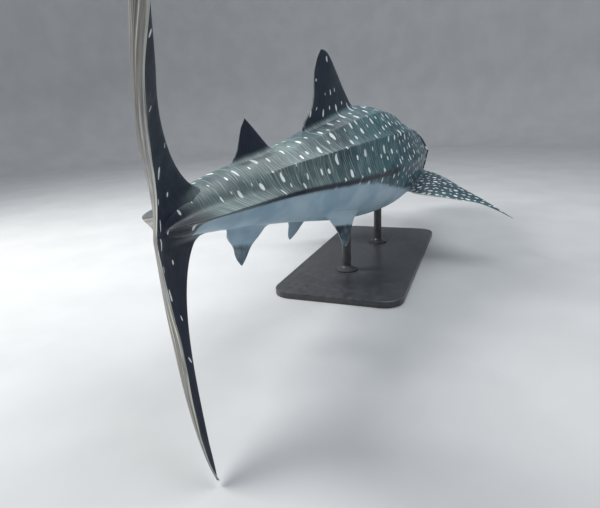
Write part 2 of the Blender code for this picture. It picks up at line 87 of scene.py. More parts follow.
# Swimming pose: midline heading (left turn positive) and climb, in degrees, along the body
HEADING = np.array([(0.0, 10.3), (0.25, 3.0), (0.5, -13.0), (0.65, -11.7), (0.775, 1.2), (0.9, 11.5),
                    (1.0, 13.4)])
CLIMB = np.array([(0.0, -4.2), (0.5, 0.0), (0.775, 0.1), (1.0, 2.2)])
BODY_ROLL = math.radians(-1.1)
TAIL_TWIST, TWIST_START, TWIST_LENGTH = math.radians(5.4), 0.6, 0.3
# Each tail lobe sweeps sideways by its tip's sweep times the power of its height over its reach
UPPER_TIP_SWEEP, LOWER_TIP_SWEEP = -0.0748, -0.0715
UPPER_REACH, LOWER_REACH, SWEEP_POWER = 0.165, 0.14, 1.6
# The tail fin's rear edge curls to the right by the camber, and the middle of its chord bulges by the cup
ROOT_CAMBER, UPPER_CAMBER, LOWER_CAMBER = 0.0217, 0.0231, 0.0205
CUP, UPPER_SHIFT = 0.025, 0.0035
STALK_BEND_START, STALK_BEND_LENGTH = 0.755, 0.106

# Ridges along each flank: angle above the horizontal at four places, start, end, height, angular width
RIDGE_PLACES = (0.06, 0.20, 0.50, 0.78)
RIDGE_ANGLES = {
    "low": (0.0, 4.7, -0.3, 4.5),
    "middle": (32.0, 34.6, 37.5, 40.0),
    "high": (60.0, 62.0, 66.0, 70.0),
}
RIDGES = {
    "low": (0.13, 0.83, 0.0045, 7.0),
    "middle": (0.11, 0.68, 0.0042, 6.0),
    "high": (0.16, 0.70, 0.0036, 6.0),
}
RIDGE_EASING = 0.045
HIGH_RIDGE_SHARE, HIGH_RIDGE_FADE = 0.62, (0.62, 0.48)
KEEL_HEIGHT, KEEL_START, KEEL_FULL, KEEL_FADE, KEEL_END = 0.0125, 0.60, 0.73, 0.792, 0.836

# Gills, mouth, eyes, nostrils and spiracles
GILL_SLITS = np.linspace(0.134, 0.190, 5)
GILL_SPAN = (-46.0, 34.0)
GILL_LIFT, GILL_CUT, GILL_BOW = 0.0026, 0.0018, 0.0035
GILL_BOW_RISE, GILL_BOW_FALL = (0.100, 0.130), (0.235, 0.200)
MOUTH_CORNER = 0.040
EYE_PLACE, EYE_ANGLE, EYE_RADIUS, EYE_PROUD = 0.054, -9.0, 0.032, 0.012
# The lips and the groove between them, in metres: height over the mouth line, width and relief
UPPER_LIP, LOWER_LIP, MOUTH_GROOVE = (0.040, 0.026, 0.012), (-0.038, 0.022, 0.008), (0.0, 0.010, -0.030)
MOUTH_RISE = 0.012
NOSTRIL_PLACE, NOSTRIL_ANGLE = 0.0072, 10.5
SPIRACLE_PLACE, SPIRACLE_ANGLE = 0.070, 3.0

# Fins: leading and trailing edge in the straight body, from inside the root to the tip, greatest half
# thickness, points of the grid along and around, and reach of the flare onto the body
FIRST_DORSAL = dict(
    lead=((0.385, 0.060), (0.430, 0.1015), (0.4486, 0.1206), (0.473, 0.1492), (0.487, 0.160),
          (0.499, 0.162)),
    trail=((0.541, 0.045), (0.5525, 0.0665), (0.531, 0.089), (0.5225, 0.119), (0.514, 0.146),
           (0.499, 0.162)),
    thick=0.0068, grid=(56, 48), flare=0.0075)
SECOND_DORSAL = dict(
    lead=((0.605, 0.034), (0.634, 0.0585), (0.6513, 0.0735), (0.6630, 0.0825)),
    trail=((0.683, 0.020), (0.6915, 0.0350), (0.6812, 0.0500), (0.6722, 0.0700), (0.6630, 0.0825)),
    thick=0.0040, grid=(36, 36), flare=0.0062)
ANAL = dict(
    lead=((0.625, -0.028), (0.6572, -0.0505), (0.6703, -0.0578), (0.6811, -0.0688), (0.6894, -0.0755)),
    trail=((0.697, -0.020), (0.7115, -0.0370), (0.7035, -0.0490), (0.6995, -0.0632), (0.6894, -0.0755)),
    thick=0.0036, grid=(34, 36), flare=0.0062)
PELVIC = dict(
    lead=((0.452, -0.45), (0.486, 0.18), (0.511, 0.62), (0.524, 0.88), (0.534, 1.00)),
    trail=((0.545, -0.45), (0.5535, 0.06), (0.5445, 0.45), (0.5405, 0.80), (0.534, 1.00)),
    thick=0.0036, root=(0.0330, -0.0460), tip=(0.0465, -0.0890), arch=0.0, pitch=0.0, pivot=0.52,
    grid=(32, 36), flare=0.0075)
PECTORAL = dict(
    lead=((0.200, -0.30), (0.237, 0.1625), (0.277, 0.474), (0.303, 0.762), (0.3185, 0.93), (0.3265, 1.03)),
    trail=((0.305, -0.30), (0.3292, 0.03), (0.3275, 0.25), (0.3200, 0.47), (0.3180, 0.75), (0.3265, 1.03)),
    thick=0.0072, root=(0.0690, -0.0400), tip=(0.2210, -0.0815), arch=0.010, pitch=24.0, pivot=0.27,
    grid=(60, 52), flare=0.0070)
UPPER_TIP, LOWER_TIP, FORK = (0.9974, 0.1829), (0.9209, -0.1533), (0.861, 0.008)
UPPER_LOBE = dict(
    lead=((0.755, 0.022), (0.812, 0.040), (0.9074, 0.1329), (0.9774, 0.1789), UPPER_TIP),
    trail=(FORK, (0.861, 0.045), (0.921, 0.070), (0.9874, 0.1429), UPPER_TIP),
    thick=0.0062)
LOWER_LOBE = dict(
    lead=((0.762, -0.0185), (0.804, -0.036), (0.836, -0.086), (0.9089, -0.1493), LOWER_TIP),
    trail=(FORK, (0.857, -0.030), (0.869, -0.070), (0.9199, -0.1233), LOWER_TIP),
    thick=0.0056)
TAIL_GRID, TAIL_FLARE, TAIL_FLARE_FADE = (90, 60), 0.008, (0.856, 0.835)
FIN_EDGE = 0.0022

# Places of the stand's rods along the body
ROD_PLACES = {"stand_rod_front": 0.275, "stand_rod_rear": 0.445}

# How far the columns of spots are apart along the body, and the rows as a share of that, and how big the
# spots are
MARK_PLACES = (0.00, 0.10, 0.20, 0.35, 0.46, 0.55, 0.65, 0.75, 0.86, 1.00)
MARK_SPACING = (0.0066, 0.0080, 0.0102, 0.0132, 0.0170, 0.0205, 0.0200, 0.0175, 0.0170, 0.0170)
ROW_SPACING = 1.12
# On the fins the rows lie wider apart by this share. Those of the tail fin count from its root.
FIN_ROWS, TAIL_ROWS, TAIL_ROW_SPACING = 0.8, 9, 0.017
SPOT_SIZE = (0.80, 0.85, 1.00, 1.10, 1.00, 0.85, 0.85, 0.80, 0.60, 0.60)
# The share of the grid's cells that hold a spot, along the body
AMOUNT_PLACES, SPOT_AMOUNT = (0.0, 0.5, 0.7, 0.80, 0.84), (0.97, 0.95, 0.92, 0.75, 0.5)
# The pale underside's upper border: angle above the horizontal along the body
PALE_PLACES = (0.00, 0.05, 0.12, 0.20, 0.30, 0.40, 0.46, 0.52, 0.60, 0.70, 0.78, 0.86)
PALE_BORDER = (-8.0, -18.0, -27.0, -36.0, -38.0, -27.0, -15.0, -8.0, -6.0, -4.5, -3.5, -3.0)
# The dark line under the lowest ridge, partly the skin's own dark line and partly painted shadow of the
# ridge: angle under the crest, angular width, where it starts and ends
SHADOW_ANGLE, SHADOW_WIDTH, SHADOW_START, SHADOW_END = 4.2, 4.0, (0.37, 0.45), (0.82, 0.78)
# Where along the body its wavy lines start and end, its blue gives way to a lighter grey, painted as
# sunlight on the stalk, and the tail's navy starts
LINES_START, LINES_END, GREYING, NAVY_START = (0.20, 0.42), (0.82, 0.76), (0.40, 0.66), (0.765, 0.812)
# The tail fin's left face, painted lighter and warmer as the sunlit face, with cream streaks: where it
# starts along the body, and how it turns in from the right side
LIT_FACE_START, LIT_FACE_TURN = (0.775, 0.825), (-0.15, 0.25)

# Each fin's own marks, away from its root
FIRST_DORSAL_LOOKS = dict(navy=0.85, size=0.74, amount=0.72, pale=-2.0, dense=1.25)
SECOND_DORSAL_LOOKS = dict(navy=1.0, size=0.5, amount=0.18, pale=-2.0)
ANAL_LOOKS = dict(navy=0.7, size=0.5, amount=0.05, pale=-0.05, blend=0.024)
TAIL_LOOKS = dict(navy=1.0, size=0.62, amount=0.62, pale=-2.0)
PECTORAL_TOP = dict(navy=0.12, size=1.35, amount=1.0, pale=-2.0)
PECTORAL_UNDER = dict(navy=0.0, size=0.6, amount=0.1, pale=1.5)
PELVIC_TOP = dict(navy=0.8, size=0.7, amount=0.35, pale=-0.25)
PELVIC_UNDER = dict(navy=0.0, size=0.5, amount=0.0, pale=1.5)

# The photograph's viewing angle: place in metres, then yaw, pitch and roll in degrees
CAMERA_PLACE = (-4.9693, -1.1779, 1.6346)
CAMERA_YAW, CAMERA_PITCH, CAMERA_ROLL = 21.658, -16.874, -2.807
CAMERA_LENS, SENSOR_WIDTH = 28.35, 36.0

# The studio's floor, in metres: how far it is flat, its wall's radius and height, and the sweep between them
FLAT_RADIUS, WALL_RADIUS, WALL_HEIGHT, SWEEP = 15.0, 18.0, 14.0, 3.0


def ease(low, high, x):
    """Smooth step from 0 at low to 1 at high."""
    t = np.clip((np.asarray(x, float) - low) / (high - low), 0, 1)
    return t * t * (3 - 2 * t)


def unit(vectors):
    """The vectors at a length of 1."""
    return vectors / np.maximum(np.linalg.norm(vectors, axis=-1, keepdims=True), 1e-15)


def full_turn(count):
    """Angles of count points round a circle, as one row."""
    return np.linspace(0, 2 * np.pi, count, endpoint=False)[None]


def natural_spline(places, values):
    """The natural cubic spline through the values at the places, as a function."""
    x, y = np.asarray(places, float), np.asarray(values, float)
    h = np.diff(x)
    system, right = np.eye(len(x)), np.zeros(len(x))
    for i in range(1, len(x) - 1):
        system[i, i - 1:i + 2] = h[i - 1], 2 * (h[i - 1] + h[i]), h[i]
        right[i] = 6 * ((y[i + 1] - y[i]) / h[i] - (y[i] - y[i - 1]) / h[i - 1])
    curve = np.linalg.solve(system, right)

    def value(at):
        at = np.asarray(at, float)
        i = np.clip(np.searchsorted(x, at) - 1, 0, len(h) - 1)
        a, b = (x[i + 1] - at) / h[i], (at - x[i]) / h[i]
        return a * y[i] + b * y[i + 1] + ((a**3 - a) * curve[i] + (b**3 - b) * curve[i + 1]) * h[i]**2 / 6

    return value


def curve_through(points):
    """A smooth plane curve through the points, as a function of its share of length from 0 to 1."""
    p = np.array(points, float)
    run = np.concatenate([[0], np.cumsum(np.hypot(*np.diff(p, axis=0).T))])
    along, across = natural_spline(run / run[-1], p[:, 0]), natural_spline(run / run[-1], p[:, 1])
    return lambda t: np.stack([along(t), across(t)], -1)


def bezier(points):
    """The Bezier curve of the control points, as a function of t from 0 to 1."""
    p = np.array(points, float)
    n = len(p) - 1

    def value(t):
        t = np.asarray(t, float)[..., None]
        return sum(math.comb(n, k) * t**k * (1 - t)**(n - k) * p[k] for k in range(n + 1))

    return value


half_width = natural_spline(STATIONS[:, 0], STATIONS[:, 1])
back_height = natural_spline(STATIONS[:, 0], STATIONS[:, 2])
belly_depth = natural_spline(STATIONS[:, 0], STATIONS[:, 3])


def rounded_end(s, rounding):
    """1 behind the snout, falling to 0 at its tip along a superellipse."""
    length, power = rounding
    return (1 - np.clip(1 - s / length, 0, 1)**power)**(1 / power)


def ridge_angle(name, s):
    """Angle of a ridge above the horizontal, averaged over a short stretch so that it bends gently."""
    stretch = np.linspace(-RIDGE_EASING, RIDGE_EASING, 7)
    return sum(np.interp(s + d, RIDGE_PLACES, RIDGE_ANGLES[name]) for d in stretch) / len(stretch)


def gill_bow(s, angle):
    """How far back the gill slits, and the skin's rings beside them, bow in the middle of their span."""
    low, high = GILL_SPAN
    middle, half = (low + high) / 2, (high - low) / 2
    bow = GILL_BOW * (0.5 - np.clip(np.abs(angle - middle) / half, 0, 1.2)**2)
    return bow * ease(*GILL_BOW_RISE, s) * ease(*GILL_BOW_FALL, s)


def gill_relief(s, angle):
    """Each gill flap rises towards its free rear edge and drops into the slit behind it."""
    low, high = GILL_SPAN
    window = ease(low, low + 12, angle) * ease(high, high - 12, angle)
    reach = GILL_SLITS[1] - GILL_SLITS[0]
    relief = np.zeros(np.broadcast(s, angle).shape)
    for slit in GILL_SLITS:
        offset = (s - gill_bow(s, angle) - slit) / reach
        rise = np.clip(offset + 0.75, 0, 0.65) / 0.65 * (offset < 0)
        drop = -np.clip(1 - offset / 0.25, 0, 1) * (offset >= 0)
        relief = relief + GILL_LIFT * rise**1.5 + GILL_CUT * drop
    return relief * window


def side_angle(angle):
    """Angle above the horizontal on either flank, of a direction from the midline in degrees."""
    return np.degrees(np.arcsin(np.clip(np.sin(np.radians(angle)), -1, 1)))


def plain_radius(s, angle):
    """Radius of the superellipse that each section of the body starts from."""
    a = np.radians(angle)
    side = side_angle(angle)
    trunk = BELLY_SQUARENESS + (BACK_SQUARENESS - BELLY_SQUARENESS) * ease(*BELLY_TO_BACK, side)
    power = trunk + (HEAD_SQUARENESS - trunk) * ease(*TRUNK_TO_HEAD, s)
    width = half_width(s) * rounded_end(s, SNOUT_ROUNDING)
    height = np.where(side > 0, back_height(s), belly_depth(s)) * rounded_end(s, LIP_ROUNDING)
    start, end, share = STALK_FINING
    width = width * (1 - share * ease(start, end, s)) * ease(*STALK_WIDTH_CLOSING, s)**0.5
    height = height * ease(*STALK_HEIGHT_CLOSING, s)**0.5
    width, height = np.maximum(width, 1e-5), np.maximum(height, 1e-5)
    return ((np.abs(np.cos(a)) / width)**power + (np.abs(np.sin(a)) / height)**power)**(-1 / power)


def body_radius(s, angle):
    """Distance of the skin from the midline at s, where angle is the direction in degrees: 0 at the left,
    90 at the back, 180 at the right and 270 at the belly. The flank ridges, the keels and the gill flaps
    are added to the plain section."""
    s, angle = np.broadcast_arrays(np.asarray(s, float), np.asarray(angle, float))
    radius = plain_radius(s, angle)
    side = side_angle(angle)
    for name, (start, end, lift, spread) in RIDGES.items():
        crest = lift * ease(start, start + 0.08, s) * ease(end, end - 0.06, s)
        if name == "high":
            crest = crest * (HIGH_RIDGE_SHARE * ease(*HIGH_RIDGE_FADE, s) + 0.2)
        if name == "low":
            crest = crest + KEEL_HEIGHT * ease(KEEL_START, KEEL_FULL, s) * ease(KEEL_END, KEEL_FADE, s)
        radius = radius + crest * np.exp(-np.abs((side - ridge_angle(name, s)) / spread)**1.3)
    return radius + gill_relief(s, side)


def body_point(s, angle):
    """(s, y, z) of the skin."""
    radius, a = body_radius(s, angle), np.radians(angle)
    s = np.broadcast_to(s, radius.shape)
    return np.stack([s, radius * np.cos(a), radius * np.sin(a)], -1)


def body_normal(s, angle):
    """Unit normal of the skin, from points a small step ahead, behind and to either side."""
    step, turn = 2e-4, 0.25
    back = body_point(s + step, angle) - body_point(np.maximum(s - step, 1e-7), angle)
    around = body_point(s, angle + turn) - body_point(s, angle - turn)
    return unit(np.cross(around, back))


STEPS = np.linspace(-0.05, 1.05, 881)
CLIMB_OF, HEADING_OF = natural_spline(*CLIMB.T), natural_spline(*HEADING.T)


def midline():
    """The midline's points at STEPS, found by walking back from the snout along the heading and climb."""
    heading, climb = np.radians(HEADING_OF(STEPS)), np.radians(CLIMB_OF(STEPS))
    back = -np.stack([np.cos(heading) * np.cos(climb), np.sin(heading) * np.cos(climb), np.sin(climb)], -1)
    step = (back[1:] + back[:-1]) / 2 * (STEPS[1] - STEPS[0])
    points = np.concatenate([np.zeros((1, 3)), np.cumsum(step, axis=0)])
    return points - [np.interp(sum(ROD_PLACES.values()) / 2, STEPS, points[:, k]) for k in range(3)]


MIDLINE = midline()


def bend(s, y, z, lift=0.0):
    """World points, in metres, of points (s, y, z) of the straight shark, with its axis lifted off the floor:
    the midline's point, plus y along its left and z along its upward direction, both rolled."""
    s, y, z = np.broadcast_arrays(*[np.asarray(v, float) for v in (s, y, z)])
    heading, climb = np.radians(HEADING_OF(s)), np.radians(CLIMB_OF(s))
    roll = BODY_ROLL + TAIL_TWIST * np.clip((s - TWIST_START) / TWIST_LENGTH, 0, 1)**1.5
    centre = np.stack([np.interp(s, STEPS, MIDLINE[:, k]) for k in range(3)], -1)
    ahead = np.stack([np.cos(heading) * np.cos(climb), np.sin(heading) * np.cos(climb), np.sin(climb)], -1)
    left = np.stack([-np.sin(heading), np.cos(heading), 0 * heading], -1)
    up = np.cross(ahead, left)
    cos_roll, sin_roll = np.cos(roll)[..., None], np.sin(roll)[..., None]
    sideways, upright = left * cos_roll + up * sin_roll, up * cos_roll - left * sin_roll
    return (centre + y[..., None] * sideways + z[..., None] * upright) * TOTAL_LENGTH + [0, 0, lift]


def cup(chord_share, camber, bulge=CUP):
    """Sideways shift along the tail fin's chord: the middle bulges to the left and the rear edge curls to
    the right."""
    return chord_share**2 * (bulge * (1 - chord_share) - camber)


def stalk_bend(s):
    """Sideways shift of the tail stalk, which runs into the cupped tail fin."""
    return cup(np.clip((s - STALK_BEND_START) / STALK_BEND_LENGTH, 0, 1.2), ROOT_CAMBER)


def lobe_bend(z, chord_share, height_share, camber):
    """Sideways shift of a tail lobe: its tip trails to the right and its rear edge curls to the right. The
    curl fades towards the tip, and on the upper lobe the bulge fades too, from mid-span on."""
    upper = np.clip(z / UPPER_REACH, 0, None)**SWEEP_POWER
    lower = np.clip(-z / LOWER_REACH, 0, None)**SWEEP_POWER
    sweep = UPPER_TIP_SWEEP * upper + LOWER_TIP_SWEEP * lower
    camber = ROOT_CAMBER + (camber - ROOT_CAMBER) * ease(0, 0.5, height_share)
    shift = UPPER_SHIFT * (z > 0) * ease(0, 0.35, height_share) * ease(0.85, 0.5, height_share)
    flat = np.where(z > 0, ease(1.15, 0.75, height_share), ease(1.10, 0.45, height_share))
    bulge = CUP * (1 - (z > 0) * ease(0.35, 0.8, height_share))
    return sweep - shift + cup(chord_share, camber, bulge) * flat


AXIS_HEIGHT = TAIL_CLEARANCE - bend(LOWER_TIP[0], LOWER_TIP_SWEEP, LOWER_TIP[1])[2]


def posed(points):
    """World points of straight points that leave the stalk's sideways bend to this function."""
    return bend(points[..., 0], points[..., 1] + stalk_bend(points[..., 0]), points[..., 2], AXIS_HEIGHT)


# The marks that the materials read. Each is one channel of an array beside the grid's points.
CHANNELS = ("column", "row", "level", "pale", "crease", "navy", "size", "amount", "lines",
            "across", "along", "left")
ATTRIBUTES = {"place": CHANNELS[0:3], "tone": CHANNELS[3:6], "spots": CHANNELS[6:9], "rays": CHANNELS[9:12]}


# Places and angles at which the skin is measured for the grid of spots, closest together at the snout
TABLE_PLACES = np.concatenate([0.02 * np.linspace(0, 1, 30)**2, np.linspace(0.0225, BODY_END, 180)])
TABLE_SIDES = np.linspace(90, -90, 91)


def girth_table():
    """Distance over the plain skin from the middle of the back round to each angle, summed from short
    steps."""
    radius = plain_radius(TABLE_PLACES[:, None], TABLE_SIDES[None])
    a = np.radians(TABLE_SIDES)
    steps = np.hypot(np.diff(radius * np.cos(a), axis=1), np.diff(radius * np.sin(a), axis=1))
    return np.concatenate([np.zeros((len(radius), 1)), np.cumsum(steps, axis=1)], axis=1)


def column_table():
    """Number of columns of spots ahead of each place: steps along the back over the columns' spacing."""
    steps = np.hypot(np.diff(TABLE_PLACES), np.diff(plain_radius(TABLE_PLACES, 90.0)))
    spacing = np.interp(TABLE_PLACES, MARK_PLACES, MARK_SPACING)
    return np.concatenate([[0], np.cumsum(steps / spacing[1:])])


GIRTHS, COLUMNS = girth_table(), column_table()


def column_count(s):
    """How many columns of spots lie ahead of s, also behind the body."""
    beyond = np.clip(np.asarray(s) - TABLE_PLACES[-1], 0, None) / MARK_SPACING[-1]
    return np.interp(s, TABLE_PLACES, COLUMNS) + beyond


def row_count(s, angle):
    """How many rows of spots lie between the middle of the back and a direction, more than 0 on the left:
    the girth between the table's four nearest entries, over the rows' spacing."""
    i = np.interp(s, TABLE_PLACES, np.arange(len(TABLE_PLACES)))
    j = (90 - side_angle(angle)) / (TABLE_SIDES[0] - TABLE_SIDES[1])
    low_i = np.minimum(i.astype(int), len(TABLE_PLACES) - 2)
    low_j = np.minimum(j.astype(int), len(TABLE_SIDES) - 2)
    part_i, part_j = i - low_i, j - low_j
    near = GIRTHS[low_i, low_j] * (1 - part_j) + GIRTHS[low_i, low_j + 1] * part_j
    far = GIRTHS[low_i + 1, low_j] * (1 - part_j) + GIRTHS[low_i + 1, low_j + 1] * part_j
    spacing = np.interp(s, MARK_PLACES, MARK_SPACING) * ROW_SPACING
    left = np.where(np.cos(np.radians(angle)) > 0, 1.0, -1.0)
    return left * (near * (1 - part_i) + far * part_i) / spacing


def marks_of(shape, **values):
    """An array of marks over a grid, 0 where no value is given."""
    marks = np.zeros((*shape, len(CHANNELS)))
    for name, value in values.items():
        marks[..., CHANNELS.index(name)] = value
    return marks


def channel(marks, name):
    """One channel of an array of marks, to be read or filled."""
    return marks[..., CHANNELS.index(name)]


def lit_face_share(s, left):
    """How far the tail fin's left face shows, painted lighter as the sunlit face, with its streaks: it
    starts on the stalk's left side.
    """
    return ease(*LIT_FACE_START, s) * ease(*LIT_FACE_TURN, left)


def body_marks(s, angle):
    """The body's marks: spots in columns and rows, smaller towards the head, a pale underside, and painted
    shade in the mouth's groove, in the gill slits and under the lowest ridge, where the dark line is partly
    the skin's own."""
    side = side_angle(angle)
    border = np.interp(s, PALE_PLACES, PALE_BORDER)
    below_ridge = side - ridge_angle("low", s)
    # Painted shadow under the lowest ridge, together with the skin's own dark line there
    shadow = np.exp(-((below_ridge + SHADOW_ANGLE) / SHADOW_WIDTH)**4)
    shadow = shadow * ease(*SHADOW_START, s) * ease(*SHADOW_END, s)
    # Painted shade in the gill slits and along the mouth's groove
    gills = np.clip(-gill_relief(s, side) / GILL_CUT, 0, 1)**2 * 0.35
    mouth = np.exp(-((side - 0.5) / 2.6)**2) * ease(MOUTH_CORNER + 0.006, MOUTH_CORNER - 0.004, s)
    tail = ease(*NAVY_START, s + 0.022 * ease(-45, -90, side))
    lips = np.exp(-((side + 7) / 11)**4) * ease(MOUTH_CORNER + 0.010, MOUTH_CORNER - 0.006, s)
    chord = np.clip((s - STALK_BEND_START) / STALK_BEND_LENGTH, 0, 1)
    return marks_of(
        np.broadcast(s, angle).shape, column=column_count(s), row=row_count(s, angle),
        level=lit_face_share(s, np.cos(np.radians(angle))), across=0.9 * chord,
        along=0.05 * np.sin(np.radians(angle)) * chord,
        pale=np.clip((border - side) / 10, -2, 2) * (1 - tail) - 2 * tail,
        crease=np.clip(shadow + gills + mouth, 0, 1), navy=tail,
        size=np.interp(s, MARK_PLACES, SPOT_SIZE) * (1 - 0.98 * lips),
        amount=np.interp(s, AMOUNT_PLACES, SPOT_AMOUNT),
        lines=ease(*LINES_START, s) * ease(*LINES_END, s))


def wander(s, angle, waves, seed):
    """Gentle unevenness from -1 to 1: a few sine waves along and around the body, with seeded phases."""
    random = np.random.default_rng(seed)
    a = np.radians(angle)
    total = 0
    for _ in range(6):
        along, around = random.uniform(0.5, 1.0) * waves, random.integers(1, 5)
        total = total + np.sin(along * s * 2 * np.pi + random.uniform(0, 6.3)) * np.sin(
            around * a + random.uniform(0, 6.3))
    return total / 3


def groove(distance, width):
    """1 in the middle of a groove, falling to 0 over its width."""
    return np.exp(-(distance / width)**2)


def off_centre(s, angle, place, middle):
    """Distances in metres along the body and around it from a spot on either flank."""
    local = body_radius(place, middle) * TOTAL_LENGTH
    return (s - place) * TOTAL_LENGTH, np.radians(side_angle(angle) - middle) * local


def skin_relief(s, angle):
    """Height in metres, along the skin's normal, of its folds: the lips and the mouth's groove, the furrow
    behind its corner, the pit ahead of the tail fin, the slit between the pelvic fins and a gentle
    unevenness. Each fold is a bell curve of the distance from its line, times its height or depth."""
    side = side_angle(angle)
    point = body_point(s, angle) * TOTAL_LENGTH
    height = point[..., 2] + MOUTH_RISE * (np.clip(s, 0, MOUTH_CORNER) / MOUTH_CORNER)**2
    folds = (UPPER_LIP, LOWER_LIP, MOUTH_GROOVE)
    mouth = sum(relief * groove(height - place, width) for place, width, relief in folds)
    detail = mouth * ease(MOUTH_CORNER + 0.004, MOUTH_CORNER - 0.008, s)
    ahead, across = off_centre(s, angle, MOUTH_CORNER, -3.0)
    furrow = groove(ahead - 0.030 - 0.5 * np.abs(across + 0.02), 0.012) * groove(across + 0.02, 0.045)
    detail = detail - 0.009 * furrow
    pit = groove((s - 0.7525) * TOTAL_LENGTH, 0.016) * groove(90 - side, 34)
    slit = groove(side + 90, 2.0) * ease(0.535, 0.540, s) * ease(0.556, 0.550, s)
    detail = detail - 0.008 * pit - 0.006 * slit
    return detail + 0.0022 * wander(s, angle, 9, seed=3) * ease(0.0, 0.1, s) * ease(0.82, 0.7, s)


# Rims of the head's openings: the place and angle of the middle, the stretch along and around the body, how
# wide and deep the skin dips under the rim, and the rim's closed section as (distance from the centre,
# height over the skin), in metres
OPENINGS = {
    "eye": dict(
        place=EYE_PLACE, middle=EYE_ANGLE, stretch=(1.0, 1.0), dip=(0.052, 0.045), rim=(
            (0.0236, 0.0030), (0.0256, 0.0062), (0.0300, 0.0078), (0.0360, 0.0066), (0.0430, 0.0044),
            (0.0500, 0.0026), (0.0560, 0.0016), (0.0605, 0.0004), (0.0625, -0.0030), (0.0600, -0.0140),
            (0.0450, -0.0260), (0.0360, -0.0240), (0.0335, -0.0150), (0.0285, -0.0040))),
    "spiracle": dict(
        place=SPIRACLE_PLACE, middle=SPIRACLE_ANGLE, stretch=(1.25, 0.8), dip=(0.024, 0.030), rim=(
            (0.0090, -0.0100), (0.0098, -0.0010), (0.0125, 0.0024), (0.0170, 0.0022), (0.0230, 0.0013),
            (0.0272, 0.0003), (0.0290, -0.0030), (0.0270, -0.0140), (0.0150, -0.0220))),
    "nostril": dict(
        place=NOSTRIL_PLACE, middle=NOSTRIL_ANGLE, stretch=(0.26, 0.66), dip=(0.021, 0.022), rim=(
            (0.0080, -0.0100), (0.0088, -0.0012), (0.0115, 0.0012), (0.0155, 0.0013), (0.0205, 0.0009),
            (0.0245, 0.0002), (0.0262, -0.0030), (0.0240, -0.0140), (0.0130, -0.0180))),
}


def skin_dip(s, angle):
    """Depth in metres to which the skin dips under each opening's rim."""
    depth = 0.0
    for opening in OPENINGS.values():
        ahead, across = off_centre(s, angle, opening["place"], opening["middle"])
        radius, deepest = opening["dip"]
        distance = np.hypot(ahead / opening["stretch"][0], across / opening["stretch"][1])
        depth = depth + deepest * ease(radius, radius * 0.6, distance)
    return depth


def skin_at(s, angle, out=0.0):
    """Straight points of the finished skin, out metres proud of it."""
    height = (skin_relief(s, angle) + out) / TOTAL_LENGTH
    return body_point(s, angle) + height[..., None] * body_normal(s, angle)


def body_rows():
    """Distances behind the snout of the body's rings: closest on the lips, close on the head."""
    length, power = LIP_ROUNDING
    share = np.linspace(0.025, 0.90, 36)
    lips = length * (1 - (1 - share**power)**(1 / power))
    head = np.arange(lips[-1] + 0.0015, 0.206, 0.0015)
    return np.concatenate([lips, head, np.linspace(0.2075, BODY_END, 186)])


def body_columns(s):
    """Directions of one ring's points for each s, closer together along the mouth line and the ridges: from
    one crest to the next the steps follow a sine wave."""
    crests = [np.full_like(s, -90.0)] + [ridge_angle(name, s) for name in RIDGES] + [np.full_like(s, 90.0)]
    left = []
    for (a, b), count in zip(zip(crests, crests[1:]), (32, 22, 16, 18)):
        t = np.arange(count) / count
        left.append(a[:, None] + (b - a)[:, None] * (t - 0.62 * np.sin(2 * np.pi * t) / (2 * np.pi)))
    left = np.concatenate(left, axis=1)
    return np.concatenate([left, np.full((len(s), 1), 90.0), 180 - left[:, :0:-1]], axis=1)


def tube(points, marks, ends=None):
    """A closed surface from rings of points, with one more point at each end. Without end points the last
    ring joins the first."""
    rings, around = points.shape[:2]
    ring = np.arange(rings if ends is None else rings - 1)[:, None]
    j, k = np.arange(around), np.roll(np.arange(around), -1)
    after = (ring + 1) % rings
    quads = np.stack([ring * around + j, ring * around + k, after * around + k, after * around + j], -1)
    points, marks = points.reshape(-1, 3), marks.reshape(-1, len(CHANNELS))
    faces = [quads.reshape(-1, 4)]
    if ends is not None:
        total, last = len(points), (rings - 1) * around
        faces.append(np.stack([k, j, np.full(around, total)], -1))
        faces.append(np.stack([last + j, last + k, np.full(around, total + 1)], -1))
        points = np.concatenate([points, ends])
        marks = np.concatenate([marks, marks[:1], marks[-1:]])
    return points, marks, faces


def volume(points, faces):
    """Signed volume of a closed surface: a sixth of the sum of its triangles' triple products."""
    total = 0.0
    for group in faces:
        for k in range(1, group.shape[1] - 1):
            a, b, c = points[group[:, 0]], points[group[:, k]], points[group[:, k + 1]]
            total += np.einsum("ij,ij->", a, np.cross(b, c)) / 6
    return total


def facing_out(surface):
    """The surface with its faces turned round if they point inwards."""
    points, marks, faces = surface
    centred = points - points.mean(axis=0)
    return points, marks, faces if volume(centred, faces) > 0 else [f[:, ::-1] for f in faces]


def mesh_object(name, surfaces, material):
    """One smooth object of several surfaces, with the marks as its attributes."""
    starts = np.cumsum([0] + [len(points) for points, _, _ in surfaces])
    points = np.concatenate([points for points, _, _ in surfaces])
    marks = np.concatenate([marks for _, marks, _ in surfaces])
    faces = [group + start for start, (_, _, faces) in zip(starts, surfaces) for group in faces]
    sizes = np.concatenate([np.full(len(group), group.shape[1]) for group in faces])
    corners = np.concatenate([group.ravel() for group in faces])
    mesh = bpy.data.meshes.new(name)
    mesh.vertices.add(len(points))
    mesh.vertices.foreach_set("co", points.ravel())
    mesh.loops.add(len(corners))
    mesh.loops.foreach_set("vertex_index", corners.astype(np.int32))
    mesh.polygons.add(len(sizes))
    mesh.polygons.foreach_set("loop_start", np.concatenate([[0], np.cumsum(sizes)[:-1]]).astype(np.int32))
    for attribute, channels in ATTRIBUTES.items():
        first = CHANNELS.index(channels[0])
        data = mesh.attributes.new(attribute, "FLOAT_VECTOR", "POINT")
        data.data.foreach_set("vector", marks[:, first:first + 3].astype(np.float32).ravel())
    mesh.update(calc_edges=True)
    mesh.validate()
    mesh.shade_smooth()
    mesh.materials.append(material)
    obj = bpy.data.objects.new(name, mesh)
    bpy.context.scene.collection.objects.link(obj)
    return obj


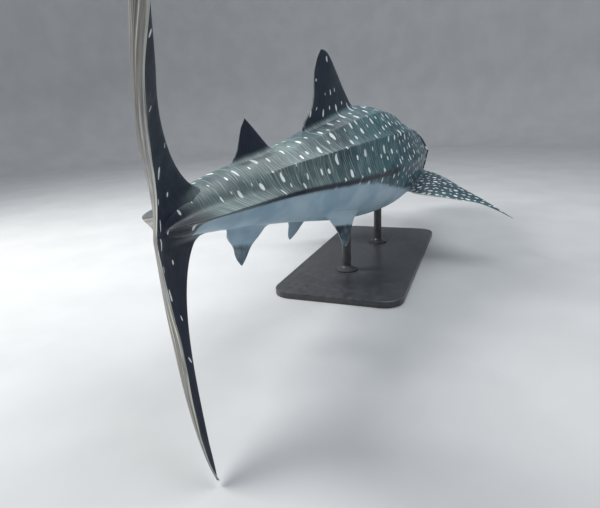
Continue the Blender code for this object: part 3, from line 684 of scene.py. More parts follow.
def body_skin():
    """The body: a tube of rings from the lips to the inside of the tail fin."""
    s = body_rows()
    angle = body_columns(s)
    s = np.repeat(s[:, None], angle.shape[1], 1)
    s = s + gill_bow(s, side_angle(angle))
    ends = posed(np.array([(0.0, 0.0, 0.0), (BODY_POLE, 0.0, 0.0)]))
    return facing_out(tube(posed(skin_at(s, angle, -skin_dip(s, angle))), body_marks(s, angle), ends))


def edge_thickness(share):
    """Half thickness along the chord, as a share of the greatest: round in front, fine behind."""
    front = 2.969 * np.sqrt(share) - 1.26 * share
    return front - 3.516 * share**2 + 2.843 * share**3 - 1.036 * share**4


def above_skin(points):
    """Height of straight points over the skin, along the line from the midline, and their directions."""
    s = np.clip(points[..., 0], 1e-4, LAST_PLACE)
    angle = np.degrees(np.arctan2(points[..., 2], points[..., 1]))
    beyond = np.clip(points[..., 0] - LAST_PLACE, 0, None)
    return np.hypot(points[..., 1], points[..., 2]) - body_radius(s, angle) + beyond, angle


def grid_normals(points):
    """Unit outward normals of a grid that is closed around: across its rings and along its rows."""
    around = np.roll(points, -1, axis=1) - np.roll(points, 1, axis=1)
    along = np.gradient(points, axis=0)
    normal = unit(np.cross(around, along))
    middle = points.mean(axis=1, keepdims=True)
    outward = np.sum(normal * (points - middle))
    return normal if outward > 0 else -normal


def flared(points, reach, fade=1.0):
    """Fin points near the body moved out along the fin's normals, on a quarter circle of that reach, so
    that the fin runs smoothly into the skin, and their heights over the skin, which are kept."""
    height, _ = above_skin(points)
    near = np.clip(1 - height / reach, 0, 1)
    out = reach * (1 - np.sqrt(1 - near**2)) * fade
    moved = points + out[..., None] * grid_normals(points)
    for _ in range(2):
        now, angle = above_skin(moved)
        lift, a = height - now, np.radians(angle)
        moved = moved + np.stack([0 * lift, lift * np.cos(a), lift * np.sin(a)], -1) * (near > 0)[..., None]
    return moved, height


def rooted(place, grid, sink=0.0006):
    """Shares of the span for a fin's grid, and its turns: each column starts where it leaves the skin, sunk
    in a little. place gives the straight points for shares of the span and turns around the section."""
    rows, around = grid
    turn = full_turn(around)
    trial = np.linspace(0, 0.75, 301)[:, None]
    height, _ = above_skin(place(np.repeat(trial, around, 1), turn))
    under = height < -sink
    last = len(trial) - 1 - np.argmax(under[::-1], axis=0)
    last = np.where(under.any(axis=0), np.minimum(last, len(trial) - 2), 0)
    low, high = height[last, np.arange(around)], height[last + 1, np.arange(around)]
    part = np.clip((-sink - low) / np.maximum(high - low, 1e-9), 0, 1)
    start = trial[last, 0] + part * (trial[1, 0] - trial[0, 0])
    grow = np.linspace(0, 1, rows + 1)[:-1, None]**1.3
    last_ring = 0.998
    return start + (last_ring - start) * grow, turn


def behind_lead(turn):
    """Share of the chord behind the leading edge, from 0 to 1 and back as the turn goes round a section."""
    return (1 - np.cos(turn)) / 2


def half_thickness(thick, chord, widest, t, turn):
    """Half a fin's thickness, below 0 on its second face: less where the chord is short and towards the
    tip, with a fine round edge added all the way round."""
    taper = np.minimum(1.0, (chord / widest)**0.8) * (1 - 0.35 * t)
    face = np.sin(turn)
    return thick * taper * edge_thickness(behind_lead(turn)) * np.sign(face) + FIN_EDGE / TOTAL_LENGTH * face


def section(fin, t, turn):
    """(place, half thickness, share of the chord) of a fin's section at share t of its span. It runs from
    the leading edge along one face to the trailing edge and back along the other, as the turn goes round."""
    lead, trail = curve_through(fin["lead"]), curve_through(fin["trail"])
    share = behind_lead(turn)
    place = lead(t) * (1 - share[..., None]) + trail(t) * share[..., None]
    chord = np.linalg.norm(trail(t) - lead(t), axis=-1)
    span = np.linspace(0, 1, 60)
    widest = np.linalg.norm(trail(span) - lead(span), axis=-1).max()
    return place, half_thickness(fin["thick"], chord, widest, t, turn), share


def frayed(t, share, seed):
    """Small sideways waves of a fin's thin rear part, as a share of the length."""
    random = np.random.default_rng(seed)
    phase = random.uniform(0, 6.3, 3)
    waves = np.sin(9 * t + phase[0]) + 0.6 * np.sin(23 * t + phase[1]) + 0.35 * np.sin(47 * t + phase[2])
    return 0.00045 * waves * share**3 * t


def fin_marks(points, height, t, share, left, dense=1.0, blend=0.007, **looks):
    """A fin's marks: at its root they are the body's, and further out its own looks, over the height of the
    blend. Its spots get denser from the root out by the factor dense."""
    _, angle = above_skin(points)
    s = np.clip(points[..., 0], 0.001, LAST_PLACE)
    near = ease(blend, 0.001, height)
    own = marks_of(height.shape, **looks)
    marks = own + (body_marks(s, angle) - own) * near[..., None]
    spacing = np.interp(s, MARK_PLACES, MARK_SPACING)
    rows = row_count(s, angle) * near + (1 - near) * np.sign(left - 0.5) * np.abs(row_count(s, angle))
    columns = column_count(points[..., 0])
    middle = columns[0].mean()
    closer = 1 + (dense - 1) * ease(0.0, 0.035, height)
    channel(marks, "column")[...] = middle + (columns - middle) * closer
    channel(marks, "row")[...] = rows - FIN_ROWS * np.clip(height, 0, None) * dense / spacing / ROW_SPACING
    channel(marks, "across")[...] = np.minimum(share, 0.95 + 0.05 * ease(0.003, 0.010, height))
    channel(marks, "along")[...] = t
    channel(marks, "left")[...] = left
    return marks


def upright_fin(fin, seed, looks):
    """A fin in the middle plane, on the back or the belly."""

    def place(t, turn):
        where, half, share = section(fin, t, turn)
        half = half + frayed(t, share, seed)
        return np.stack([where[..., 0], half, where[..., 1]], -1)

    t, turn = rooted(place, fin["grid"])
    points, height = flared(place(t, turn), fin["flare"])
    share = behind_lead(turn) + 0 * t
    marks = fin_marks(points, height, t, share, (np.sin(turn) > 0) + 0 * t, **looks)
    inside = points[0].mean(axis=0) * [1, 1, 0.9]
    end = fin["lead"][-1]
    return facing_out(tube(posed(points), marks, posed(np.stack([inside, (end[0], 0.0, end[1])]))))


def paired_fin(fin, side, seed, upper, lower, dense, blend=0.007):
    """A pectoral or pelvic fin: its span leaves the flank from root to tip, and its chord lies along the
    body, pitched up in front. side is 1 at the left and -1 at the right. Its top has the upper looks and
    its underside the lower ones."""
    root, tip = np.array(fin["root"]), np.array(fin["tip"])
    span = tip - root
    normal = np.array([-span[1], span[0]]) / np.hypot(*span)
    slope = math.tan(math.radians(fin["pitch"]))

    def at(s, reach, out):
        outside = np.clip(reach, 0, 1)
        lift = (fin["pivot"] - s) * slope * (1 - 0.6 * outside) * np.clip(reach + 0.5, 0, 1)
        arch = fin["arch"] * 4 * outside * (1 - outside)
        y = root[0] + span[0] * reach + normal[0] * out
        z = root[1] + span[1] * reach + normal[1] * out + lift + arch
        return np.stack([s + 0 * y, side * y, z], -1)

    def place(t, turn):
        where, half, share = section(fin, t, turn)
        return at(where[..., 0], where[..., 1], half + frayed(t, share, seed))

    t, turn = rooted(place, fin["grid"])
    points, height = flared(place(t, turn), fin["flare"])
    share = behind_lead(turn) + 0 * t
    top = ease(-0.25, 0.25, np.sin(turn)) + 0 * t
    looks = {name: upper[name] * top + lower[name] * (1 - top) for name in upper}
    marks = fin_marks(points, height, t, share, top, dense=dense, blend=blend, **looks)
    inside = points[0].mean(axis=0) * [1, 0.9, 0.9]
    ends = posed(np.stack([inside, at(*fin["lead"][-1], 0.0)]))
    return facing_out(tube(posed(points), marks, ends))


def tail_fin():
    """Both lobes of the tail fin as one surface, from the lower tip through the root to the upper tip,
    cupped and swept to the right. v is -1 at the lower tip and 1 at the upper."""
    rows, around = TAIL_GRID
    upper_lead, upper_trail = bezier(UPPER_LOBE["lead"]), bezier(UPPER_LOBE["trail"])
    lower_lead, lower_trail = bezier(LOWER_LOBE["lead"]), bezier(LOWER_LOBE["trail"])
    outward = np.linspace(0.012, 0.9985, rows)**0.95
    v = np.concatenate([-outward[::-1], [0.0], outward])
    t = np.abs(v)[:, None]
    turn = full_turn(around)
    above = (v > 0)[:, None, None]
    middle = (v == 0)[:, None, None]
    lead = np.where(above, upper_lead(t), lower_lead(t))
    lead = np.where(middle, (upper_lead(0.0) + lower_lead(0.0)) / 2, lead)
    trail = np.where(above, upper_trail(t), lower_trail(t))
    share = behind_lead(turn) + 0 * t
    place = lead * (1 - share[..., None]) + trail * share[..., None]
    chord = np.linalg.norm(trail - lead, axis=-1)
    widest = np.where(v > 0, chord[v > 0].max(), chord[v < 0].max())[:, None]
    widest = np.where(t == 0, chord.max(), widest)
    thick = np.interp(v, (-0.15, 0.15), (LOWER_LOBE["thick"], UPPER_LOBE["thick"]))[:, None]
    camber = np.where(v > 0, UPPER_CAMBER, LOWER_CAMBER)[:, None]
    half = half_thickness(thick, chord, widest, t, turn)
    bent = lobe_bend(place[..., 1], share, t, camber) + frayed(t, share, seed=8)
    points = np.stack([place[..., 0], half + bent - stalk_bend(place[..., 0]), place[..., 1]], -1)
    points, height = flared(points, TAIL_FLARE, ease(*TAIL_FLARE_FADE, place[..., 0]))
    left = ease(-0.12, 0.12, np.sin(turn)) + 0 * t
    marks = fin_marks(points, height, t, share, left, **TAIL_LOOKS)
    rows = FIN_ROWS * (TAIL_ROWS - np.abs(place[..., 1]) / TAIL_ROW_SPACING)
    channel(marks, "row")[...] = (2 * left - 1) * rows
    # The tail fin's left face is painted lighter, as the sunlit face
    channel(marks, "level")[...] = lit_face_share(points[..., 0], np.sin(turn))
    channel(marks, "pale")[...] = TAIL_LOOKS["pale"]
    channel(marks, "amount")[...] *= ease(0.97, 0.90, t) * (1 - 0.8 * left)
    channel(marks, "across")[...] += 0.05 * ease(0.35, 1.0, t) * (v < 0)[:, None]
    channel(marks, "along")[...] = v[:, None]
    tips = [(LOWER_TIP, LOWER_CAMBER), (UPPER_TIP, UPPER_CAMBER)]
    ends = [bend(s, lobe_bend(z, 0.0, 1.0, camber), z, AXIS_HEIGHT) for (s, z), camber in tips]
    return facing_out(tube(posed(points), marks, ends))


def rim(name, side, around=48):
    """The raised ring round an opening, from its closed section, stretched along the body or around it."""
    opening = OPENINGS[name]
    place, middle, stretch = opening["place"], opening["middle"], opening["stretch"]
    distance, height = np.array(opening["rim"]).T
    turn = full_turn(around)
    along = distance[:, None] * np.cos(turn) * stretch[0]
    across = distance[:, None] * np.sin(turn) * stretch[1]
    s = place + along / TOTAL_LENGTH
    flank = middle + np.degrees(across / (body_radius(place, middle) * TOTAL_LENGTH))
    angle = flank if side > 0 else 180 - flank
    marks = body_marks(s, angle)
    # Painted shade on the rim's inner lip and inner wall, down into the opening
    inside = (distance < distance[2]) | (np.arange(len(distance)) > len(distance) - 4)
    channel(marks, "crease")[...] = inside[:, None]
    return facing_out(tube(posed(skin_at(s, angle, height[:, None])), marks))


def barbel(side):
    """The short blunt flap that hangs over each nostril: a round section that tapers along a curved
    path."""
    t = np.linspace(0, 1, 9)[:, None]
    turn = full_turn(14)
    above, hang, behind = 1.5, 6.5, 0.0012
    flank = NOSTRIL_ANGLE + above - hang * t
    angle = flank if side > 0 else 180 - flank
    s = np.full_like(t, NOSTRIL_PLACE + behind)
    out = (0.004 + 0.016 * np.sin(np.pi * t * 0.7)) / TOTAL_LENGTH
    centre = body_point(s, angle) + out[..., None] * body_normal(s, angle)
    radius = 0.0085 * np.sqrt(1 - 0.9 * t**3) / TOTAL_LENGTH
    ahead = body_normal(s, angle)
    across = unit(np.cross(ahead, [0, 0, 1.0]))
    points = centre + radius[..., None] * (
        np.cos(turn)[..., None] * across * 1.3 + np.sin(turn)[..., None] * ahead * 0.7)
    marks = body_marks(s + 0 * turn, angle + 0 * turn)
    channel(marks, "amount")[...] = 0
    ends = posed(np.stack([centre[0, 0] - ahead[0, 0] * 0.001, centre[-1, 0]]))
    return facing_out(tube(posed(points), marks, ends))


def skin_surfaces():
    """The body, the fins and the rims of the head's openings."""
    surfaces = [body_skin(), tail_fin()]
    surfaces.append(upright_fin(FIRST_DORSAL, 21, FIRST_DORSAL_LOOKS))
    surfaces.append(upright_fin(SECOND_DORSAL, 22, SECOND_DORSAL_LOOKS))
    surfaces.append(upright_fin(ANAL, 23, ANAL_LOOKS))
    for side in (1, -1):
        surfaces.append(paired_fin(PECTORAL, side, 30 + side, PECTORAL_TOP, PECTORAL_UNDER, 1.6))
        surfaces.append(paired_fin(PELVIC, side, 40 + side, PELVIC_TOP, PELVIC_UNDER, 1.0, 0.018))
        surfaces += [rim(name, side) for name in OPENINGS]
        surfaces.append(barbel(side))
    return surfaces


# Materials

class Nodes:
    """Short ways to add nodes to one tree. A number or a socket may be given for any input."""

    def __init__(self, tree):
        self.tree = tree

    def link(self, socket, value):
        if isinstance(value, bpy.types.NodeSocket):
            self.tree.links.new(value, socket)
        elif value is not None:
            socket.default_value = value

    def add(self, kind, inputs=(), **settings):
        node = self.tree.nodes.new(kind)
        for name, value in settings.items():
            setattr(node, name, value)
        for name, value in dict(inputs).items():
            self.link(node.inputs[name], value)
        return node

    def maths(self, operation, a, b=None, c=None):
        node = self.add("ShaderNodeMath", operation=operation)
        for k, value in enumerate((a, b, c)):
            self.link(node.inputs[k], value)
        return node.outputs[0]

    def times(self, a, b):
        return self.maths("MULTIPLY", a, b)

    def vector(self, operation, a, b=None, scale=None):
        node = self.add("ShaderNodeVectorMath", operation=operation)
        self.link(node.inputs[0], a)
        self.link(node.inputs[1], b)
        if scale is not None:
            self.link(node.inputs["Scale"], scale)
        return node.outputs["Value" if operation == "LENGTH" else "Vector"]

    def ramp(self, value, low, high, start=0.0, end=1.0):
        """Smooth step of a value from start at low to end at high."""
        node = self.add("ShaderNodeMapRange", interpolation_type="SMOOTHSTEP")
        for k, given in enumerate((value, low, high, start, end)):
            self.link(node.inputs[k], given)
        return node.outputs[0]

    def noise(self, vector, scale, detail=2.0, roughness=0.5, kind="3D"):
        node = self.add("ShaderNodeTexNoise", noise_dimensions=kind)
        for name, value in dict(Vector=vector, Scale=scale, Detail=detail, Roughness=roughness).items():
            self.link(node.inputs[name], value)
        return node.outputs["Fac"]

    def split(self, vector):
        return self.add("ShaderNodeSeparateXYZ", {"Vector": vector}).outputs

    def join(self, x, y, z=0.0):
        return self.add("ShaderNodeCombineXYZ", {"X": x, "Y": y, "Z": z}).outputs[0]

    def stretched(self, place, across, along, z=0.0):
        """The place with its first two coordinates multiplied by across and along."""
        return self.join(self.times(place[0], across), self.times(place[1], along), z)

    def mix(self, share, a, b):
        """a where the share is 0 and b where it is 1."""
        node = self.add("ShaderNodeMix", data_type="RGBA")
        self.link(node.inputs[0], share)
        for k, value in ((6, a), (7, b)):
            self.link(node.inputs[k], (*value, 1.0) if isinstance(value, tuple) else value)
        return node.outputs[2]

    def bump(self, height, strength, distance):
        return self.add("ShaderNodeBump", {"Height": height, "Strength": strength,
                                           "Distance": distance}).outputs["Normal"]

    def attribute(self, name):
        return self.add("ShaderNodeAttribute", attribute_name=name).outputs["Vector"]

    def object_place(self):
        return self.add("ShaderNodeTexCoord").outputs["Object"]

    def group(self, tree, **inputs):
        return self.add("ShaderNodeGroup", inputs, node_tree=tree).outputs


def new_group(name, inputs, outputs):
    """A shader node group with named inputs, the first a vector, and outputs, with its nodes and inputs."""
    tree = bpy.data.node_groups.new(name, "ShaderNodeTree")
    for socket, default in inputs.items():
        kind = "NodeSocketVector" if default is None else "NodeSocketFloat"
        made = tree.interface.new_socket(socket, in_out="INPUT", socket_type=kind)
        if default is not None:
            made.default_value = default
    for socket in outputs:
        tree.interface.new_socket(socket, in_out="OUTPUT", socket_type="NodeSocketFloat")
    n = Nodes(tree)
    return n, n.add("NodeGroupInput").outputs


def spot_group():
    """Oval spots, one in each cell of a loosened grid. Big and small ones take turns, and a spot shows where
    its cell's chance is under the amount. The core is the mask made fainter on some spots."""
    n, given = new_group("oval_spots", {"Place": None, "Size": 1.0, "Amount": 1.0, "Looseness": 0.5},
                         ("Mask", "Core"))
    flat = n.vector("MULTIPLY", given["Place"], (1.0, 1.0, 0.0))
    wobble = n.add("ShaderNodeTexNoise", {"Vector": flat, "Scale": 1.7, "Detail": 1.0},
                   noise_dimensions="2D").outputs["Color"]
    shift = n.vector("SUBTRACT", wobble, (0.5, 0.5, 0.5))
    warped = n.vector("ADD", flat, n.vector("SCALE", shift, scale=0.22))
    cells = n.add("ShaderNodeTexVoronoi", {"Vector": warped, "Scale": 1.0, "Randomness": given["Looseness"]},
                  voronoi_dimensions="2D", feature="F1")
    middle = n.vector("MULTIPLY", cells.outputs["Position"], (1.0, 1.0, 0.0))
    level = n.vector("MULTIPLY", warped, (1.0, 1.0, 0.0))
    offset = n.vector("MULTIPLY", n.vector("SUBTRACT", level, middle), (1.0, 0.58, 0.0))
    chance = n.split(cells.outputs["Color"])
    spot = n.split(middle)
    total = n.maths("ADD", n.maths("FLOOR", spot[0]), n.maths("FLOOR", spot[1]))
    turn = n.maths("ABSOLUTE", n.maths("MODULO", total, 2.0))
    radius = n.maths("MULTIPLY_ADD", turn, 0.052, 0.082)
    radius = n.times(radius, n.maths("MULTIPLY_ADD", chance[0], 0.55, 0.72))
    apart = n.maths("DIVIDE", n.vector("LENGTH", offset), n.times(radius, given["Size"]))
    mask = n.times(n.ramp(apart, 1.18, 0.82), n.maths("LESS_THAN", chance[1], given["Amount"]))
    core = n.times(mask, n.maths("MULTIPLY_ADD", chance[2], 0.35, 0.65))
    n.add("NodeGroupOutput", {"Mask": mask, "Core": core})
    return n.tree


def line_group():
    """Thin wavy lines across the body, several between two columns of spots, that fade in and out."""
    n, given = new_group("wavy_lines", {"Place": None, "Count": 3.0}, ("Mask",))
    place = n.split(given["Place"])
    bending = n.noise(n.stretched(place, 0.7, 0.30), 1.0, 2.0, 0.5, kind="2D")
    wave = n.maths("MULTIPLY_ADD", bending, 0.9, place[0])
    cycle = n.maths("FRACT", n.times(wave, given["Count"]))
    apart = n.maths("ABSOLUTE", n.maths("SUBTRACT", cycle, 0.5))
    fading = n.noise(n.stretched(place, 2.1, 0.8), 1.0, 2.0, 0.6, kind="2D")
    width = n.times(fading, 0.34)
    line = n.ramp(apart, width, n.times(width, 0.25))
    n.add("NodeGroupOutput", {"Mask": n.times(line, n.ramp(fading, 0.40, 0.60))})
    return n.tree


def streak_group():
    """Soft streaks that run along one direction of a plane."""
    n, given = new_group("streaks", {"Place": None, "Across": 30.0, "Along": 3.0}, ("Value",))
    place = n.split(given["Place"])
    stretched = n.stretched(place, given["Across"], given["Along"], place[2])
    n.add("NodeGroupOutput", {"Value": n.noise(stretched, 1.0, 4.0, 0.6)})
    return n.tree


def grain_group():
    """Height of a fine grain over broader, softer unevenness."""
    n, given = new_group("surface_grain", {"Place": None, "Fine": 400.0, "Broad": 25.0},
                         ("Height", "Patches"))
    fine = n.noise(given["Place"], given["Fine"], 2.0, 0.6)
    broad = n.noise(given["Place"], given["Broad"], 4.0, 0.55)
    height = n.maths("MULTIPLY_ADD", broad, 0.6, n.times(fine, 0.4))
    n.add("NodeGroupOutput", {"Height": height, "Patches": broad})
    return n.tree


SPOTS, LINES, STREAKS, GRAIN = spot_group(), line_group(), streak_group(), grain_group()

# Colours of the skin: the back's shaded and lit patches, front and rear, of painted dappled light and
# shade, then dark and light of the others, then those of the marks
FRONT_SHADED, FRONT_LIT = (0.006, 0.043, 0.068), (0.030, 0.120, 0.145)
REAR_SHADED, REAR_LIT = (0.060, 0.092, 0.098), (0.165, 0.220, 0.215)
# The fins' navy: their own dark colour, darkened nearly to black as painted shade of their shaded faces
FIN_DARK, FIN_LIGHT = (0.003, 0.006, 0.020), (0.010, 0.022, 0.045)
# The tail fin's left face, painted lighter as the sunlit face, with dark, light and cream streaks
LIT_FACE_DARK, LIT_FACE_LIGHT, LIT_FACE_CREAM = (0.085, 0.085, 0.088), (0.26, 0.25, 0.23), (0.70, 0.66, 0.55)
# The belly's own pale, tinted blue and made darker as painted shade of the underside
BELLY_DARK, BELLY_LIGHT = (0.27, 0.40, 0.50), (0.40, 0.53, 0.61)
SHADE, DIM_LINE, PALE_LINE = (0.02, 0.05, 0.07), (0.018, 0.050, 0.062), (0.38, 0.50, 0.49)
# The last colour is the painted shade of the grooves, slits and openings
SPOT_WHITE, EDGE_CREAM, PAINTED_SHADE_COLOUR = (0.92, 0.97, 0.95), (0.62, 0.66, 0.58), (0.002, 0.007, 0.022)


def new_material(name, **values):
    """A material with its own Principled shader, whose plain values are set on its sockets, with its nodes
    and the shader's sockets."""
    material = bpy.data.materials.new(name)
    material.use_nodes = True
    sockets = material.node_tree.nodes["Principled BSDF"].inputs
    for socket, value in values.items():
        sockets[socket.replace("_", " ")].default_value = value
    return material, Nodes(material.node_tree), sockets


def skin_material():
    """The shark's skin: slate back with pale spots and wavy lines, painted dappled light and shade, and a
    lighter grey towards the rear as painted sunlight; navy fins darkened by painted shade, a pale underside
    darkened by painted shade, painted shade in the grooves, and the tail fin's left face streaked with cream
    and painted lighter as the sunlit face."""
    material, n, sockets = new_material("shark_skin", Coat_Roughness=0.3, Specular_IOR_Level=0.35)
    place, rays = n.attribute("place"), n.attribute("rays")
    tone, spots = n.split(n.attribute("tone")), n.split(n.attribute("spots"))
    column, _, level = n.split(place)
    pale, crease, navy = tone
    size, amount, lined = spots
    where = n.object_place()
    grain = n.group(GRAIN, Place=where, Fine=260.0, Broad=9.0)
    # Where the painted dappled light and shade fall on the back; the same patches vary its coat
    patches = n.ramp(n.noise(where, 2.2, 3.0, 0.55), 0.36, 0.66)
    streaks = n.group(STREAKS, Place=rays, Across=26.0, Along=3.2)["Value"]

    # The back: shaded and lit patches of painted dappled light and shade, turning a lighter grey towards the
    # rear as painted sunlight on the stalk
    rearward = n.ramp(column, *[float(column_count(s)) for s in GREYING])
    back = n.mix(patches, n.mix(rearward, FRONT_SHADED, REAR_SHADED), n.mix(rearward, FRONT_LIT, REAR_LIT))
    # Broad patches of painted shade darken it further
    back = n.mix(n.ramp(grain["Patches"], 0.35, 0.7), n.mix(0.35, back, SHADE), back)
    between = n.vector("ADD", place, (7.13, 3.4, 0.0))
    dim_lines = n.times(n.group(LINES, Place=between, Count=4.0)["Mask"], lined)
    back = n.mix(n.times(dim_lines, 0.7), back, DIM_LINE)
    pale_lines = n.times(n.group(LINES, Place=place, Count=4.0)["Mask"], lined)
    back = n.mix(n.times(pale_lines, 0.5), back, PALE_LINE)

    fin = n.mix(n.ramp(streaks, 0.35, 0.75), FIN_DARK, FIN_LIGHT)
    # The tail fin's left face: a lighter grey-brown with cream streaks, painted as the sunlit face
    lit_face_colour = n.mix(n.ramp(streaks, 0.36, 0.56), LIT_FACE_DARK, LIT_FACE_LIGHT)
    lit_face_colour = n.mix(n.ramp(streaks, 0.56, 0.66), lit_face_colour, LIT_FACE_CREAM)
    colour = n.mix(navy, back, n.mix(level, fin, lit_face_colour))
    marks = n.group(SPOTS, Place=place, Size=size, Amount=amount, Looseness=0.55)
    colour = n.mix(marks["Core"], colour, SPOT_WHITE)

    border = n.maths("MULTIPLY_ADD", n.noise(where, 7.0, 3.0, 0.6), 0.9, -0.45)
    belly = n.mix(n.ramp(n.noise(where, 3.2, 3.0), 0.35, 0.65), BELLY_DARK, BELLY_LIGHT)
    colour = n.mix(n.ramp(n.maths("ADD", pale, border), -0.28, 0.30), colour, belly)
    edge = n.times(n.ramp(n.split(rays)[0], 0.955, 0.985), n.ramp(streaks, 0.30, 0.60))
    colour = n.mix(n.times(edge, 0.75), colour, EDGE_CREAM)
    # Painted shade darkens the grooves, the gill slits, the openings and the hollow under the lowest ridge
    n.link(sockets["Base Color"], n.mix(n.times(crease, 0.95), colour, PAINTED_SHADE_COLOUR))
    n.link(sockets["Roughness"], n.ramp(grain["Patches"], 0.3, 0.7, 0.36, 0.52))
    n.link(sockets["Coat Weight"], n.ramp(patches, 0.0, 1.0, 0.05, 0.14))
    height = n.maths("ADD", grain["Height"], n.times(streaks, 0.6))
    n.link(sockets["Normal"], n.bump(height, 0.25, 0.004))
    return material


def eye_material():
    """A dark eye: black pupil, brown-grey iris with fine rays and a nearly black surround, under a clear
    coat. The mark across is the distance from the eye's axis."""
    material, n, sockets = new_material("shark_eye", Roughness=0.25, Coat_Weight=0.6, Coat_Roughness=0.03,
                                        Specular_IOR_Level=0.2)
    rays = n.split(n.attribute("rays"))
    fine = n.noise(n.stretched(rays, 3.0, 26.0), 1.0, 3.0, kind="2D")
    iris = n.mix(n.ramp(fine, 0.35, 0.65), (0.004, 0.0035, 0.003), (0.020, 0.016, 0.012))
    colour = n.mix(n.ramp(rays[0], 0.30, 0.34), (0.002, 0.002, 0.003), iris)
    colour = n.mix(n.ramp(rays[0], 0.60, 0.70), colour, (0.010, 0.012, 0.016))
    n.link(sockets["Base Color"], colour)
    return material


def stand_material():
    """Satin paint on metal: a fine orange-peel grain and faint rubbed patches."""
    material, n, sockets = new_material("stand_paint", Metallic=0.0, Coat_Roughness=0.2)
    grain = n.group(GRAIN, Place=n.object_place(), Fine=700.0, Broad=14.0)
    patches = grain["Patches"]
    colour = n.mix(n.ramp(patches, 0.35, 0.7), (0.035, 0.036, 0.040), (0.060, 0.062, 0.067))
    n.link(sockets["Base Color"], colour)
    n.link(sockets["Roughness"], n.ramp(patches, 0.3, 0.7, 0.34, 0.48))
    n.link(sockets["Coat Weight"], n.ramp(patches, 0.3, 0.7, 0.25, 0.10))
    n.link(sockets["Normal"], n.bump(grain["Height"], 0.15, 0.001))
    return material


def floor_material():
    """Matt pale studio floor with a very faint mottle."""
    material, n, sockets = new_material("studio_floor", Roughness=0.85)
    mottle = n.ramp(n.noise(n.object_place(), 1.3, 3.0), 0.3, 0.7)
    n.link(sockets["Base Color"], n.mix(mottle, (0.50, 0.51, 0.52), (0.54, 0.55, 0.56)))
    return material


def eyeball(side):
    """One eye: a ball whose rings run round the axis that looks out from the head."""
    flank = EYE_ANGLE if side > 0 else 180 - EYE_ANGLE
    a = math.radians(flank)
    surface = body_point(EYE_PLACE, flank)
    out = (EYE_PROUD - EYE_RADIUS) / TOTAL_LENGTH
    centre = posed(surface + out * np.array([0.0, math.cos(a), math.sin(a)]))
    outward = unit(posed(surface + 0.01 * body_normal(EYE_PLACE, flank)) - posed(surface))
    first = unit(np.cross(outward, [0, 0, 1.0]))
    second = np.cross(outward, first)
    tilt = np.linspace(0.03, math.pi - 0.05, 40)[:, None]
    turn = full_turn(48)
    sideways = np.cos(turn)[..., None] * first + np.sin(turn)[..., None] * second
    points = centre + EYE_RADIUS * (np.cos(tilt)[..., None] * outward + np.sin(tilt)[..., None] * sideways)
    away = np.where(tilt < math.pi / 2, np.sin(tilt), 1.5)
    marks = marks_of(points.shape[:2], across=away, along=np.abs(turn / np.pi - 1))
    ends = np.stack([centre + EYE_RADIUS * outward, centre - EYE_RADIUS * outward])
    return facing_out(tube(points, marks, ends))


def studio():
    """A wide pale floor that sweeps up through a quarter circle into a round wall."""
    turn = full_turn(96)
    sweep = np.linspace(0, math.pi / 2, 13)
    radius = np.concatenate([[1.0, 6.0, 12.0], FLAT_RADIUS + SWEEP * np.sin(sweep), [WALL_RADIUS]])[:, None]
    height = np.concatenate([[0.0, 0.0, 0.0], SWEEP - SWEEP * np.cos(sweep), [WALL_HEIGHT]])[:, None]
    points = np.stack([radius * np.cos(turn), radius * np.sin(turn), height + 0 * turn], -1)
    rings, around = points.shape[:2]
    ring = np.arange(rings - 1)[:, None] * around
    j, k = np.arange(around), np.roll(np.arange(around), -1)
    quads = np.stack([ring + j, ring + around + j, ring + around + k, ring + k], -1)
    mesh = bpy.data.meshes.new("studio_floor")
    faces = quads.reshape(-1, 4).tolist() + [list(range(around))]
    mesh.from_pydata(points.reshape(-1, 3).tolist(), [], faces)
    mesh.shade_smooth()
    mesh.materials.append(floor_material())
    floor = bpy.data.objects.new("studio_floor", mesh)
    bpy.context.scene.collection.objects.link(floor)


def put_in_view(name, data, right, up, away, place):
    """Adds a light or camera at the place, turned to look against the direction away."""
    matrix = np.eye(4)
    matrix[:3] = np.stack([right, up, away, place], -1)
    obj = bpy.data.objects.new(name, data)
    obj.matrix_world = Matrix(matrix.tolist())
    bpy.context.scene.collection.objects.link(obj)
    return obj


def area_light(name, place, aim, size, watts, colour):
    """A square soft light that looks from its place to its aim."""
    light = bpy.data.lights.new(name, "AREA")
    light.shape = "SQUARE"
    light.size = size
    light.energy = watts
    light.color = colour
    away = unit(np.array(place) - aim)
    right = unit(np.cross([0, 0, 1.0], away))
    put_in_view(name, light, right, np.cross(away, right), away, place)


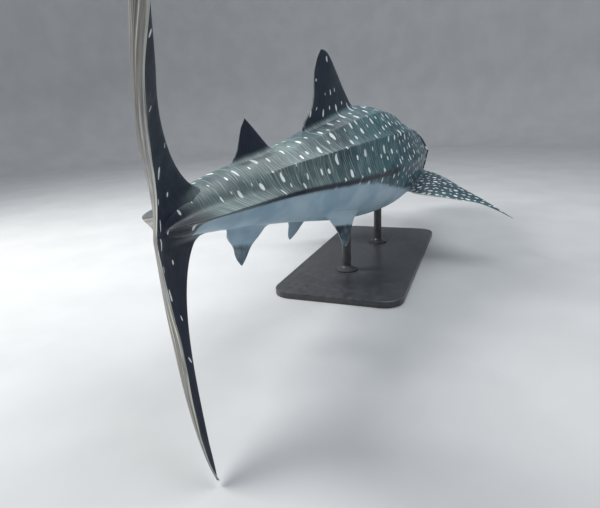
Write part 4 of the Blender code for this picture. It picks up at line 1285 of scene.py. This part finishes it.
def lights():
    """Soft daylight from above and to the left of the camera, with a pale surround."""
    area_light("key_light", (-2.5, 6.0, 6.5), (-0.5, 0.0, 1.1), 3.0, 760, (1.0, 0.98, 0.95))
    area_light("top_light", (1.5, -0.5, 7.5), (0.0, 0.0, 1.0), 5.0, 240, (0.97, 0.99, 1.0))
    area_light("fill_light", (-6.0, -6.5, 3.5), (-0.5, 0.0, 1.0), 5.0, 60, (0.90, 0.95, 1.0))
    world = bpy.data.worlds.new("studio_air")
    world.use_nodes = True
    background = world.node_tree.nodes["Background"]
    background.inputs["Color"].default_value = (0.86, 0.90, 0.95, 1.0)
    background.inputs["Strength"].default_value = 0.72
    bpy.context.scene.world = world


def camera():
    """The photograph's viewing angle."""
    yaw, pitch, roll = (math.radians(v) for v in (CAMERA_YAW, CAMERA_PITCH, CAMERA_ROLL))
    ahead = np.array([math.cos(yaw) * math.cos(pitch), math.sin(yaw) * math.cos(pitch), math.sin(pitch)])
    level = np.array([math.sin(yaw), -math.cos(yaw), 0.0])
    upright = np.cross(level, ahead)
    right = level * math.cos(roll) + upright * math.sin(roll)
    up = upright * math.cos(roll) - level * math.sin(roll)
    data = bpy.data.cameras.new("photo_camera")
    data.lens = CAMERA_LENS
    data.sensor_width = SENSOR_WIDTH
    data.sensor_fit = "HORIZONTAL"
    bpy.context.scene.camera = put_in_view("photo_camera", data, right, up, -ahead, CAMERA_PLACE)
    bpy.context.scene.view_settings.view_transform = "Standard"


FLESH = (
    "head", "lower_jaw", "trunk", "tail_stalk", "tail_upper_lobe", "tail_lower_lobe", "first_dorsal_fin",
    "second_dorsal_fin", "anal_fin", "pectoral_fin_left", "pectoral_fin_right", "pelvic_fin_left",
    "pelvic_fin_right")


def main():
    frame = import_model()
    camera()
    skin = mesh_object("shark_skin_surface", skin_surfaces(), skin_material())
    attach(skin, "root")
    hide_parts(*FLESH)
    eye = eye_material()
    for side, word in ((1, "left"), (-1, "right")):
        ball = mesh_object(f"shark_eyeball_{word}", [eyeball(side)], eye)
        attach(ball, "root")
        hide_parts(f"eye_{word}")
    paint = stand_material()
    for name in ("stand_base", *ROD_PLACES):
        frame["nodes"][name].material_slots[0].material = paint
    studio()
    lights()
    bpy.context.view_layer.update()


main()
